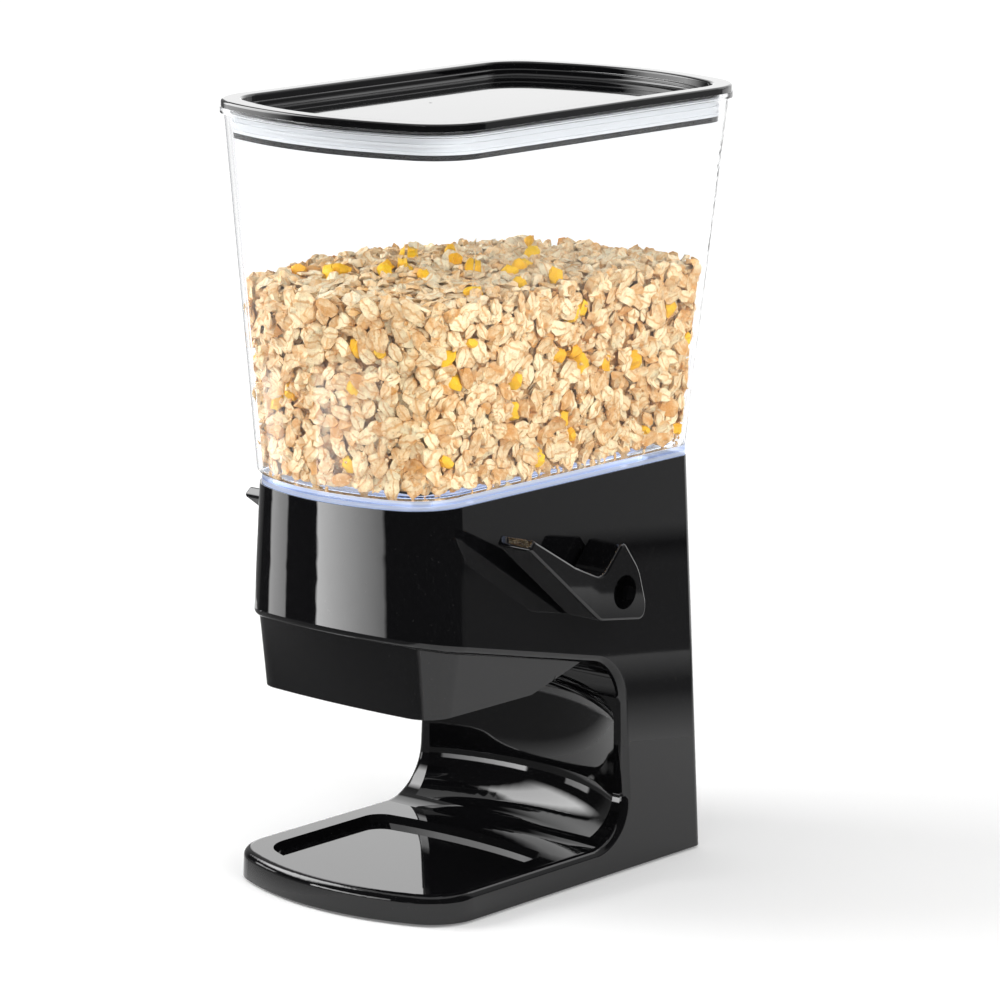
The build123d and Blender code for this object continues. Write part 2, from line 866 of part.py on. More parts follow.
# Lid: raised rim, stepped recess, and a plug that enters the hopper
with BuildPart() as lid:
    with BuildSketch(Plane.XY.offset(hopper_top)):
        add(lid_face())
    extrude(amount=lid_top - hopper_top)
    with BuildSketch(Plane.XY.offset(hopper_top)):
        add(plug_face())
    extrude(amount=plug_bottom - hopper_top)
    with BuildSketch(Plane.XY.offset(plug_bottom)):
        add(plug_face(-plug_lip_reach))
    extrude(amount=plug_lip_height)
    with BuildSketch(Plane.XY.offset(lid_top)):
        add(lid_face(lid_rim))
    extrude(amount=-lid_ledge_depth, mode=Mode.SUBTRACT)
    with BuildSketch(Plane.XY.offset(lid_top)):
        add(lid_face(lid_rim + lid_ledge_width))
    extrude(amount=-lid_recess_depth, mode=Mode.SUBTRACT)
    with BuildSketch(Plane.XY.offset(plug_bottom)):
        add(plug_face(plug_wall))
    extrude(amount=lid_top - lid_recess_depth - lid_floor_thickness - plug_bottom, mode=Mode.SUBTRACT)
    with BuildSketch(Plane.XY.offset(lid_top)):
        with Locations((vent_x, vent_y)):
            Circle(vent_diameter / 2)
    extrude(amount=-2 * lid_recess_depth, mode=Mode.SUBTRACT)
    upward_faces = lid.faces().filter_by(lambda face: face.normal_at().Z > 0.99)
    recess_floor, ledge, rim = upward_faces.sort_by(Axis.Z)[-3:]
    fillet(recess_floor.outer_wire().edges(), lid_recess_radius)
    fillet(ledge.inner_wires()[0].edges(), lid_ledge_radius)
    fillet(rim.edges(), lid_edge_radius)

# Ribbed seal round the plug
with BuildPart() as lid_seal:
    with BuildSketch(Plane.XY.offset(plug_bottom + plug_lip_height + seal_gap)):
        add(plug_face(-lid_seal_thickness))
        add(plug_face(-seal_gap), mode=Mode.SUBTRACT)
    extrude(amount=lid_seal_height)
    for index in range(lid_seal_ribs):
        rib_bottom = plug_bottom + plug_lip_height + seal_gap + index * lid_seal_rib_pitch
        with BuildSketch(Plane.XY.offset(rib_bottom)):
            add(plug_face(-lid_seal_thickness - lid_seal_rib_reach))
            add(plug_face(-lid_seal_thickness / 2), mode=Mode.SUBTRACT)
        extrude(amount=lid_seal_rib_height)

# Steel shaft with flats for the levers, grooves for the clips and a tapped hole in each end
half_shaft = lever_inner_face + lever_width - lever_bore_depth - lever_web
clip_outer_end = bush_inner_end - clip_side_gap
with BuildPart() as drive_shaft:
    with BuildSketch(Plane.YZ):
        with Locations((pivot_y, pivot_z)):
            Circle(shaft_diameter / 2)
    extrude(amount=half_shaft, both=True)
    for side in (-1, 1):
        with BuildSketch(Plane.YZ.offset(side * lever_inner_face)):
            with Locations((pivot_y, pivot_z + shaft_diameter - shaft_flat)):
                Rectangle(2 * shaft_diameter, shaft_diameter)
        extrude(amount=side * half_shaft, mode=Mode.SUBTRACT)
        with BuildSketch(Plane.YZ.offset(side * clip_outer_end)):
            with Locations((pivot_y, pivot_z)):
                Circle(shaft_diameter / 2)
                Circle(clip_groove_diameter / 2, mode=Mode.SUBTRACT)
        extrude(amount=-side * clip_thickness, mode=Mode.SUBTRACT)
        with BuildSketch(Plane.YZ.offset(side * half_shaft)):
            with Locations((pivot_y, pivot_z)):
                Circle((lever_screw_diameter + screw_hole_gap) / 2)
        extrude(amount=-side * lever_screw_length, mode=Mode.SUBTRACT)


def shaft_ring(side, outer_diameter, inner_diameter, start, end):
    """Solid ring round the lever shaft between two distances from the middle."""
    with BuildPart() as ring:
        with BuildSketch(Plane.YZ.offset(side * start)):
            with Locations((pivot_y, pivot_z)):
                Circle(outer_diameter / 2)
                Circle(inner_diameter / 2, mode=Mode.SUBTRACT)
        extrude(amount=side * (end - start))
    return ring.part


def side_bush(side):
    """Flanged bush that carries the shaft in one side wall."""
    bore = shaft_diameter + 2 * bush_bore_gap
    with BuildPart() as bush:
        add(shaft_ring(side, bush_flange_diameter, bore, bush_inner_end, bush_boss_end))
        add(shaft_ring(side, bush_diameter, bore, bush_boss_end, bush_outer_end))
    return bush.part


def side_lever(side):
    """Press lever with its bored hub, keyed on the flat of the shaft."""
    outer_face = lever_inner_face + lever_width
    with BuildPart() as lever:
        with BuildSketch(Plane.YZ.offset(side * lever_inner_face)):
            add(lever_face())
        extrude(amount=side * 2 * lever_width)
        with BuildSketch(Plane.XY.offset(pivot_z)):
            add(lever_plan(lever_inner_face, side))
        extrude(amount=pivot_z / 2, both=True, mode=Mode.INTERSECT)
        sides = lever.faces().filter_by(lambda face: abs(face.normal_at().X) > 0.9)
        fillet(sides.edges().filter_by(Axis.Z, reverse=True), lever_edge_radius)
        with BuildSketch(Plane.YZ.offset(side * outer_face)):
            with Locations((pivot_y, pivot_z)):
                Circle(lever_bore_diameter / 2)
        extrude(amount=-side * lever_bore_depth, mode=Mode.SUBTRACT)
        with BuildSketch(Plane.YZ.offset(side * lever_inner_face)):
            with Locations((pivot_y, pivot_z)):
                Circle(shaft_diameter / 2 + bush_bore_gap)
            with Locations((pivot_y, pivot_z + shaft_diameter - shaft_flat + bush_bore_gap)):
                Rectangle(2 * shaft_diameter, shaft_diameter, mode=Mode.SUBTRACT)
        extrude(amount=side * (half_shaft - lever_inner_face), mode=Mode.SUBTRACT)
        with BuildSketch(Plane.YZ.offset(side * outer_face)):
            with Locations((pivot_y, pivot_z)):
                Circle((lever_screw_diameter + screw_hole_gap) / 2)
        extrude(amount=-side * lever_width, mode=Mode.SUBTRACT)
    return lever.part


def lever_screw(side):
    """Screw that holds a lever against the end of the shaft."""
    plane = Plane(
        origin=(side * (lever_inner_face + lever_width - lever_bore_depth), pivot_y, pivot_z),
        x_dir=(0, side, 0),
        z_dir=(side, 0, 0),
    )
    return screw_group(
        [plane], lever_screw_head_diameter, lever_screw_head_height, lever_screw_diameter, lever_screw_length
    )


# Flap: plate on a hub, with ribs below and two tails under the return springs
plate_bottom = pivot_z
with BuildPart() as flap:
    with BuildSketch(Plane.XY.offset(plate_bottom)):
        add(box_face(flap_width, flap_front, pivot_y, flap_corner))
    extrude(amount=flap_thickness)
    with BuildSketch(Plane.YZ):
        with Locations((pivot_y, pivot_z)):
            Circle(flap_hub_diameter / 2)
    extrude(amount=flap_hub_width / 2, both=True)
    with BuildSketch(Plane.XY.offset(plate_bottom)):
        for x in (-flap_rib_x, flap_rib_x):
            with Locations((x, (flap_front + pivot_y) / 2 + flap_corner / 2)):
                Rectangle(flap_rib_width, pivot_y - flap_front - flap_corner)
    extrude(amount=-flap_rib_height)
    with BuildSketch(Plane.XY.offset(spring_bottom)):
        for x in (-tail_x, tail_x):
            with Locations((x, pivot_y + tail_reach / 2)):
                Rectangle(tail_width, tail_reach)
    extrude(amount=-tail_thickness)
    with BuildSketch(Plane.YZ):
        with Locations((pivot_y, pivot_z)):
            Circle(shaft_diameter / 2 + bush_bore_gap)
    extrude(amount=flap_hub_width, both=True, mode=Mode.SUBTRACT)
    with BuildSketch(Plane.XY.offset(pivot_z)):
        with Locations((-grub_x, pivot_y), (grub_x, pivot_y)):
            Circle((grub_diameter + screw_hole_gap) / 2)
    extrude(amount=-flap_hub_diameter, mode=Mode.SUBTRACT)

with BuildPart() as flap_pad:
    with BuildSketch(Plane.XY.offset(plate_bottom + flap_thickness)):
        add(outlet_face(funnel_wall + flap_pad_margin))
    extrude(amount=funnel_neck_bottom - fit_gap - plate_bottom - flap_thickness)

with BuildPart() as flap_screws:
    with BuildSketch(Plane.XY.offset(pivot_z - shaft_diameter / 2 - screw_hole_gap)):
        with Locations((-grub_x, pivot_y), (grub_x, pivot_y)):
            Circle(grub_diameter / 2)
    extrude(amount=-grub_length)


def return_spring(x):
    """Compression spring between a tail of the flap and its seat under the funnel."""
    coil_height = spring_top - spring_bottom - spring_wire
    with BuildPart() as spring:
        with BuildLine():
            add(spring_path(spring_radius, coil_height, spring_turns))
        with BuildSketch(Plane(origin=(spring_radius, 0, 0), x_dir=(1, 0, 0), z_dir=(0, 1, 0))):
            Circle(spring_wire / 2)
        sweep()
    return spring.part.moved(Location((x, spring_y, spring_bottom + spring_wire / 2)))


coil_gap = least_gap(
    spring_radius, spring_top - spring_bottom - spring_wire, spring_turns, spring_wire
)
print(f"least gap between spring turns: {coil_gap:.2f} mm")

pieces = {
    "body_shell": body_shell.part,
    "back_cover": back_cover.part,
    "back_cover_screws": cover_screws,
    "base_plate": base_plate.part,
    "base_screws": base_screws,
    "spout_hood": hood.part,
    "hood_screws": hood_screws,
    "funnel": funnel.part,
    "funnel_screws": funnel_screws,
    "hopper": hopper.part,
    "hopper_seal": hopper_seal.part,
    "lid": lid.part,
    "lid_seal": lid_seal.part,
    "drive_shaft": drive_shaft.part,
    "flap": flap.part,
    "flap_pad": flap_pad.part,
    "flap_screws": flap_screws.part,
}
pieces.update(feet)
for name, side in (("left", -1), ("right", 1)):
    pieces[f"shaft_bush_{name}"] = side_bush(side)
    pieces[f"shaft_clip_{name}"] = shaft_ring(
        side, clip_diameter, clip_groove_diameter, clip_outer_end - clip_thickness, clip_outer_end
    )
    pieces[f"lever_{name}"] = side_lever(side)
    pieces[f"lever_screw_{name}"] = lever_screw(side)
    pieces[f"return_spring_{name}"] = return_spring(side * tail_x)

for name, piece in pieces.items():
    finish(piece, name)
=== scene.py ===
"""Countertop cereal dispenser, dressed for a plain studio picture."""

import json
import logging
import math
from collections.abc import Callable, Iterator, Sequence
from contextlib import contextmanager
from dataclasses import dataclass, field
from enum import Enum

import bmesh
import bpy
import numpy as np
from mathutils import Matrix, Vector
from mathutils.bvhtree import BVHTree


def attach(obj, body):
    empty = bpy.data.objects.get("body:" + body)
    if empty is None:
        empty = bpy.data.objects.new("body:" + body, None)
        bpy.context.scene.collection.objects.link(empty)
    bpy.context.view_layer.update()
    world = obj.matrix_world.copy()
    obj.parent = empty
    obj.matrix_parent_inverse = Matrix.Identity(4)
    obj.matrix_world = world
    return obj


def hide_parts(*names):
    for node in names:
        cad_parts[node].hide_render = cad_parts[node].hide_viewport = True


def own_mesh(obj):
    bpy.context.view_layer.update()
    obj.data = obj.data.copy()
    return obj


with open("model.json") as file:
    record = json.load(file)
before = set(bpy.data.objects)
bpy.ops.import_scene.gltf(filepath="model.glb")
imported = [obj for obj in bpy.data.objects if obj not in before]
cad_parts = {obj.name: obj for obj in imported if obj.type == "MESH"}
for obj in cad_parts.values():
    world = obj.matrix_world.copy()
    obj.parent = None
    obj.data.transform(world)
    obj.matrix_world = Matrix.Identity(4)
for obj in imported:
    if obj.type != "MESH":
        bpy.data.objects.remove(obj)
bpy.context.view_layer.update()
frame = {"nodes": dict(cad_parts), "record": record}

LOG = logging.getLogger("dispenser")
WELD = 1e-6

Colour = tuple[float, float, float]
Point = tuple[float, float, float]
Span = tuple[float, float]
Node = bpy.types.Node
Socket = bpy.types.NodeSocket
Piece = bpy.types.Object


class Slot(Enum):
    """Material slots of the record."""

    GLOSS_BLACK = "gloss_black"
    SATIN_BLACK = "satin_black"
    CLEAR = "clear"
    SOFT_BLACK = "soft_black"
    SOFT_FROST = "soft_frost"
    IVORY = "ivory"
    STEEL = "steel"
    ZINC = "zinc"


class Body(Enum):
    """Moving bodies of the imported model."""

    STAND = "stand"
    FLAP = "flap_unit"
    HOPPER = "hopper_unit"
    LID = "lid_unit"


# Shader nodes


class NodeDesk:
    """Places nodes in one tree, left to right, and links them by socket name."""

    def __init__(self, tree: bpy.types.NodeTree) -> None:
        """Start on an empty tree.

        Args:
            tree: Node tree of a material, a world or a group.
        """
        self.tree = tree
        self.tree.nodes.clear()
        self.column = 0

    def add(self, kind: str, **values: object) -> Node:
        """Add a node and set its properties.

        Args:
            kind: Type of the node.
            values: Properties of the node to set.

        Returns:
            The new node.
        """
        node = self.tree.nodes.new(kind)
        node.location = (self.column * 190, 0)
        self.column += 1
        for name, value in values.items():
            setattr(node, name, value)
        return node

    def link(self, source: Socket, target: Socket) -> None:
        """Join an output socket to an input socket."""
        self.tree.links.new(source, target)

    def split(self, vector: Socket) -> bpy.types.NodeOutputs:
        """Parts of a vector.

        Args:
            vector: The vector.

        Returns:
            Its X, Y and Z sockets, by name.
        """
        node = self.add("ShaderNodeSeparateXYZ")
        self.link(vector, node.inputs[0])
        return node.outputs

    def noise(self, vector: Socket, scale: float, detail: float = 3.0) -> Socket:
        """Noise texture on a vector.

        Args:
            vector: Coordinates to read.
            scale: Cells in a metre.
            detail: Octaves of finer noise.

        Returns:
            The texture's value socket.
        """
        node = self.add("ShaderNodeTexNoise")
        node.inputs["Scale"].default_value = scale
        node.inputs["Detail"].default_value = detail
        self.link(vector, node.inputs["Vector"])
        return node.outputs["Fac"]

    def maths(
        self,
        operation: str,
        first: Socket | float,
        second: Socket | float = 0.0,
        clamp: bool = False,
    ) -> Socket:
        """Math node on two values.

        Args:
            operation: What the node works out.
            first: First value or socket.
            second: Second value or socket.
            clamp: Keep the result between 0 and 1.

        Returns:
            The result's socket.
        """
        node = self.add("ShaderNodeMath", operation=operation, use_clamp=clamp)
        for slot, value in zip(node.inputs, (first, second)):
            if isinstance(value, Socket):
                self.link(value, slot)
            else:
                slot.default_value = value
        return node.outputs[0]

    def remap(
        self, value: Socket, low: float, high: float, to_low: float, to_high: float
    ) -> Socket:
        """Clamped linear change of range.

        Args:
            value: Socket to change.
            low: Value that becomes to_low.
            high: Value that becomes to_high.
            to_low: Result at low.
            to_high: Result at high.

        Returns:
            The result's socket.
        """
        node = self.add("ShaderNodeMapRange")
        node.inputs["From Min"].default_value = low
        node.inputs["From Max"].default_value = high
        node.inputs["To Min"].default_value = to_low
        node.inputs["To Max"].default_value = to_high
        self.link(value, node.inputs["Value"])
        return node.outputs["Result"]

    def blend(
        self,
        share: Socket | float,
        first: Socket | Colour,
        second: Socket | Colour,
        kind: str = "MIX",
    ) -> Socket:
        """Mix of two colours.

        Args:
            share: How much of the second colour shows.
            first: First colour or socket.
            second: Second colour or socket.
            kind: Blend type.

        Returns:
            The mixed colour's socket.
        """
        node = self.add("ShaderNodeMix", data_type="RGBA", blend_type=kind)
        for slot, value in ((node.inputs[0], share), (node.inputs[6], first), (node.inputs[7], second)):
            if isinstance(value, Socket):
                self.link(value, slot)
            elif isinstance(value, tuple):
                slot.default_value = (*value, 1.0)
            else:
                slot.default_value = value
        return node.outputs[2]

    def ramp(self, value: Socket, stops: Sequence[tuple[float, Colour]]) -> Socket:
        """Colour ramp.

        Args:
            value: Place on the ramp.
            stops: Places and their colours, in order.

        Returns:
            The colour's socket.
        """
        node = self.add("ShaderNodeValToRGB")
        elements = node.color_ramp.elements
        while len(elements) < len(stops):
            elements.new(0.5)
        for element, (place, colour) in zip(elements, stops):
            element.position = place
            element.color = (*colour, 1.0)
        self.link(value, node.inputs["Fac"])
        return node.outputs["Color"]


def new_material(name: str) -> tuple[bpy.types.Material, NodeDesk]:
    """New material with nodes.

    Args:
        name: Its name.

    Returns:
        The material and a desk to fill it with.
    """
    made = bpy.data.materials.new(name)
    made.use_nodes = True
    return made, NodeDesk(made.node_tree)


def effect_group(
    name: str, inputs: dict[str, float], outputs: dict[str, str]
) -> tuple[bpy.types.NodeTree, NodeDesk]:
    """New shader node group with a vector input, named number inputs and outputs.

    Args:
        name: Name of the group.
        inputs: Number inputs and their usual values.
        outputs: Output names and their socket types.

    Returns:
        The group's tree and a desk to fill it with.
    """
    tree = bpy.data.node_groups.new(name, "ShaderNodeTree")
    tree.interface.new_socket("Vector", in_out="INPUT", socket_type="NodeSocketVector")
    for label, value in inputs.items():
        socket = tree.interface.new_socket(label, in_out="INPUT", socket_type="NodeSocketFloat")
        socket.default_value = value
    for label, kind in outputs.items():
        tree.interface.new_socket(label, in_out="OUTPUT", socket_type=kind)
    return tree, NodeDesk(tree)


@dataclass
class Effects:
    """Shader effects that several finishes share, each built once as a node group."""

    trees: dict[str, bpy.types.NodeTree] = field(default_factory=dict)

    def build(self) -> None:
        """Make every group."""
        self.trees["moulding"] = self._moulding()
        self.trees["handling"] = self._handling()
        self.trees["hairlines"] = self._hairlines()

    @staticmethod
    def _moulding() -> bpy.types.NodeTree:
        """Skin of a moulded part: slow waves of shrinkage and the fine grain of the tool.

        Returns:
            The group's tree.
        """
        tree, desk = effect_group(
            "moulded_skin",
            {"Wave Scale": 30.0, "Wave Depth": 0.2, "Grain Scale": 2500.0, "Grain Depth": 0.0},
            {"Height": "NodeSocketFloat"},
        )
        inlet, outlet = desk.add("NodeGroupInput"), desk.add("NodeGroupOutput")
        heights = []
        for kind in ("Wave", "Grain"):
            noise = desk.add("ShaderNodeTexNoise")
            noise.inputs["Detail"].default_value = 2.0
            desk.link(inlet.outputs["Vector"], noise.inputs["Vector"])
            desk.link(inlet.outputs[f"{kind} Scale"], noise.inputs["Scale"])
            heights.append(desk.maths("MULTIPLY", noise.outputs["Fac"], inlet.outputs[f"{kind} Depth"]))
        desk.link(desk.maths("ADD", *heights), outlet.inputs["Height"])
        return tree

    @staticmethod
    def _handling() -> bpy.types.NodeTree:
        """Marks of use: broad smears, small rubbed spots and settled dust.

        Returns:
            The group's tree.
        """
        tree, desk = effect_group(
            "handling_marks",
            {"Smear": 0.5, "Smear Scale": 18.0, "Dust": 0.3},
            {"Roughness": "NodeSocketFloat", "Dust": "NodeSocketFloat"},
        )
        inlet, outlet = desk.add("NodeGroupInput"), desk.add("NodeGroupOutput")
        broad = desk.add("ShaderNodeTexNoise")
        broad.inputs["Detail"].default_value = 6.0
        broad.inputs["Roughness"].default_value = 0.65
        desk.link(inlet.outputs["Vector"], broad.inputs["Vector"])
        desk.link(inlet.outputs["Smear Scale"], broad.inputs["Scale"])
        smear = desk.remap(broad.outputs["Fac"], 0.48, 0.72, 0.0, 1.0)
        desk.link(desk.maths("MULTIPLY", smear, inlet.outputs["Smear"]), outlet.inputs["Roughness"])
        speck = desk.noise(inlet.outputs["Vector"], 900.0, 1.0)
        spots = desk.remap(speck, 0.68, 0.78, 0.0, 1.0)
        desk.link(desk.maths("MULTIPLY", spots, inlet.outputs["Dust"]), outlet.inputs["Dust"])
        return tree

    @staticmethod
    def _hairlines() -> bpy.types.NodeTree:
        """Fine lines left by turning or drawing the metal.

        Returns:
            The group's tree.
        """
        tree, desk = effect_group(
            "hairlines",
            {"Line Scale": 900.0, "Stretch": 40.0, "Depth": 0.5},
            {"Height": "NodeSocketFloat", "Tone": "NodeSocketFloat"},
        )
        inlet, outlet = desk.add("NodeGroupInput"), desk.add("NodeGroupOutput")
        parts = desk.split(inlet.outputs["Vector"])
        joined = desk.add("ShaderNodeCombineXYZ")
        desk.link(desk.maths("DIVIDE", parts["X"], inlet.outputs["Stretch"]), joined.inputs["X"])
        desk.link(parts["Y"], joined.inputs["Y"])
        desk.link(parts["Z"], joined.inputs["Z"])
        noise = desk.add("ShaderNodeTexNoise")
        noise.inputs["Detail"].default_value = 4.0
        desk.link(joined.outputs[0], noise.inputs["Vector"])
        desk.link(inlet.outputs["Line Scale"], noise.inputs["Scale"])
        height = desk.maths("MULTIPLY", noise.outputs["Fac"], inlet.outputs["Depth"])
        desk.link(height, outlet.inputs["Height"])
        desk.link(noise.outputs["Fac"], outlet.inputs["Tone"])
        return tree

    def place(self, desk: NodeDesk, name: str, vector: Socket, **values: float) -> Node:
        """Put an effect in a material.

        Args:
            desk: Desk of the material.
            name: Short name of the effect.
            vector: Coordinates that it reads.
            values: Inputs to set, with underscores for spaces.

        Returns:
            The group node.
        """
        node = desk.add("ShaderNodeGroup")
        node.node_tree = self.trees[name]
        desk.link(vector, node.inputs["Vector"])
        for label, value in values.items():
            node.inputs[label.replace("_", " ").title()].default_value = value
        return node


EFFECTS = Effects()


@dataclass(frozen=True)
class Finish:
    """A finish: the plain values of its shader, and how its surface varies."""

    name: str
    slot: Slot | None
    colour: Colour
    roughness: float = 0.5
    settings: tuple[tuple[str, float | tuple[float, ...]], ...] = ()

    def surface(self, desk: NodeDesk, shader: Node, place: Socket) -> None:
        """Wire what varies over the surface. Plain finishes leave it alone."""

    def outcome(self, desk: NodeDesk, shader: Node) -> Socket:
        """Socket that the material puts out: the shader's own."""
        return shader.outputs["BSDF"]

    def material(self) -> bpy.types.Material:
        """Build the material, or return the one already built.

        Returns:
            The material.
        """
        found = bpy.data.materials.get(self.name)
        if found:
            return found
        made, desk = new_material(self.name)
        coordinates = desk.add("ShaderNodeTexCoord")
        shader = desk.add("ShaderNodeBsdfPrincipled")
        output = desk.add("ShaderNodeOutputMaterial")
        shader.inputs["Base Color"].default_value = (*self.colour, 1.0)
        shader.inputs["Roughness"].default_value = self.roughness
        for label, value in self.settings:
            shader.inputs[label].default_value = value
        self.surface(desk, shader, coordinates.outputs["Object"])
        desk.link(self.outcome(desk, shader), output.inputs["Surface"])
        return made

    @staticmethod
    def bump(desk: NodeDesk, shader: Node, height: Socket, depth: float) -> None:
        """Lead a height to the shader's normal.

        Args:
            desk: Desk of the material.
            shader: The shader.
            height: Height over the surface.
            depth: Depth in metres at a height of one.
        """
        node = desk.add("ShaderNodeBump")
        node.inputs["Distance"].default_value = depth
        desk.link(height, node.inputs["Height"])
        desk.link(node.outputs["Normal"], shader.inputs["Normal"])


@dataclass(frozen=True)
class MouldedPlastic(Finish):
    """Opaque moulded plastic or rubber."""

    wave_depth: float = 0.2
    wave_scale: float = 26.0
    grain_depth: float = 0.0
    grain_scale: float = 2500.0
    smear: float = 0.05
    dust: float = 0.3
    dust_colour: Colour = (0.35, 0.34, 0.33)
    dust_roughness: float = 0.5
    skin_depth: float = 0.0002

    def surface(self, desk: NodeDesk, shader: Node, place: Socket) -> None:
        """Skin of the mould, smears in the gloss and a trace of dust.

        Args:
            desk: Desk of the material.
            shader: The shader.
            place: Coordinates on the piece.
        """
        skin = EFFECTS.place(
            desk,
            "moulding",
            place,
            wave_scale=self.wave_scale,
            wave_depth=self.wave_depth,
            grain_scale=self.grain_scale,
            grain_depth=self.grain_depth,
        )
        self.bump(desk, shader, skin.outputs["Height"], self.skin_depth)
        marks = EFFECTS.place(desk, "handling", place, smear=self.smear, dust=self.dust)
        rough = desk.maths("ADD", marks.outputs["Roughness"], self.roughness)
        dusty = desk.maths("MULTIPLY", marks.outputs["Dust"], self.dust_roughness)
        desk.link(desk.maths("ADD", rough, dusty, clamp=True), shader.inputs["Roughness"])
        tinted = desk.blend(marks.outputs["Dust"], self.colour, self.dust_colour)
        desk.link(tinted, shader.inputs["Base Color"])


@dataclass(frozen=True)
class ClearPlastic(Finish):
    """Clear moulded plastic with a faintly tinted foot, painted highlight stripes glowing in the foot and
    painted dark edges.
    """

    foot_colour: Colour = (0.78, 0.87, 1.0)
    foot_roughness: float = 0.4
    shade: Colour = (0.93, 0.95, 0.96)
    # Painted shade: dark grey colour on the edges seen at a grazing angle.
    painted_edge_shade: Colour = (0.14, 0.16, 0.2)
    painted_edge_shade_from: float = 0.7
    painted_edge_shade_share: float = 0.95
    # Painted highlight: height band and ramp of the blue and white stripes that glow in the foot.
    foot_highlight_band: Span = (0.2, 0.21)
    foot_painted_highlights: tuple[tuple[float, Colour], ...] = (
        (0.12, (0.16, 0.26, 0.62)),
        (0.3, (0.5, 0.62, 0.95)),
        (0.42, (0.95, 0.97, 1.0)),
        (0.58, (0.28, 0.4, 0.8)),
        (0.7, (0.85, 0.9, 1.0)),
        (0.86, (0.0, 0.0, 0.0)),
    )
    foot_low: float = 0.2035
    foot_high: float = 0.2085

    def surface(self, desk: NodeDesk, shader: Node, place: Socket) -> None:
        """Tint of the thick foot, painted highlight stripes that glow in the foot, painted shade on the edges
        that turn away from view, and faint scuffs in the polish.

        Args:
            desk: Desk of the material.
            shader: The shader.
            place: Coordinates on the piece.
        """
        height = desk.split(place)["Z"]
        share = desk.remap(height, self.foot_low, self.foot_high, 1.0, 0.0)
        tinted = desk.blend(share, self.colour, self.foot_colour)
        # Painted shade: the colour turns dark grey where the surface turns away from view, in place of the
        # dark edges that reflections draw.
        facing = desk.add("ShaderNodeLayerWeight").outputs["Facing"]
        painted_edge_shade = desk.remap(facing, self.painted_edge_shade_from, 1.0, 0.0, self.painted_edge_shade_share)
        desk.link(desk.blend(painted_edge_shade, tinted, self.painted_edge_shade), shader.inputs["Base Color"])
        # Painted highlight: the foot glows in stripes of blue and white through the emission colour.
        painted_highlight_band = desk.remap(height, *self.foot_highlight_band, 0.0, 1.0)
        desk.link(desk.ramp(painted_highlight_band, self.foot_painted_highlights), shader.inputs["Emission Color"])
        marks = EFFECTS.place(desk, "handling", place, smear=0.02, smear_scale=25.0, dust=0.05)
        rough = desk.maths("ADD", marks.outputs["Roughness"], self.roughness)
        soft = desk.maths("MULTIPLY", share, self.foot_roughness)
        desk.link(desk.maths("ADD", rough, soft, clamp=True), shader.inputs["Roughness"])

    def outcome(self, desk: NodeDesk, shader: Node) -> Socket:
        """Let the lamps shine through to what is inside.

        Args:
            desk: Desk of the material.
            shader: The shader.

        Returns:
            The shader, clear to shadow rays.
        """
        through = desk.add("ShaderNodeBsdfTransparent")
        through.inputs["Color"].default_value = (*self.shade, 1.0)
        mixed = desk.add("ShaderNodeMixShader")
        desk.link(desk.add("ShaderNodeLightPath").outputs["Is Shadow Ray"], mixed.inputs[0])
        desk.link(shader.outputs["BSDF"], mixed.inputs[1])
        desk.link(through.outputs["BSDF"], mixed.inputs[2])
        return mixed.outputs[0]


@dataclass(frozen=True)
class Metal(Finish):
    """Drawn, turned or plated metal."""

    line_scale: float = 900.0
    stretch: float = 30.0
    line_depth: float = 0.4
    cut_depth: float = 0.00003
    tone: float = 0.25

    def surface(self, desk: NodeDesk, shader: Node, place: Socket) -> None:
        """Hairlines and an uneven tone.

        Args:
            desk: Desk of the material.
            shader: The shader.
            place: Coordinates on the piece.
        """
        lines = EFFECTS.place(
            desk, "hairlines", place, line_scale=self.line_scale, stretch=self.stretch, depth=self.line_depth
        )
        self.bump(desk, shader, lines.outputs["Height"], self.cut_depth)
        dark = tuple(channel * (1 - self.tone) for channel in self.colour)
        desk.link(desk.blend(lines.outputs["Tone"], dark, self.colour), shader.inputs["Base Color"])
        marks = EFFECTS.place(desk, "handling", place, smear=0.15, smear_scale=120.0, dust=0.0)
        desk.link(
            desk.maths("ADD", marks.outputs["Roughness"], self.roughness), shader.inputs["Roughness"]
        )


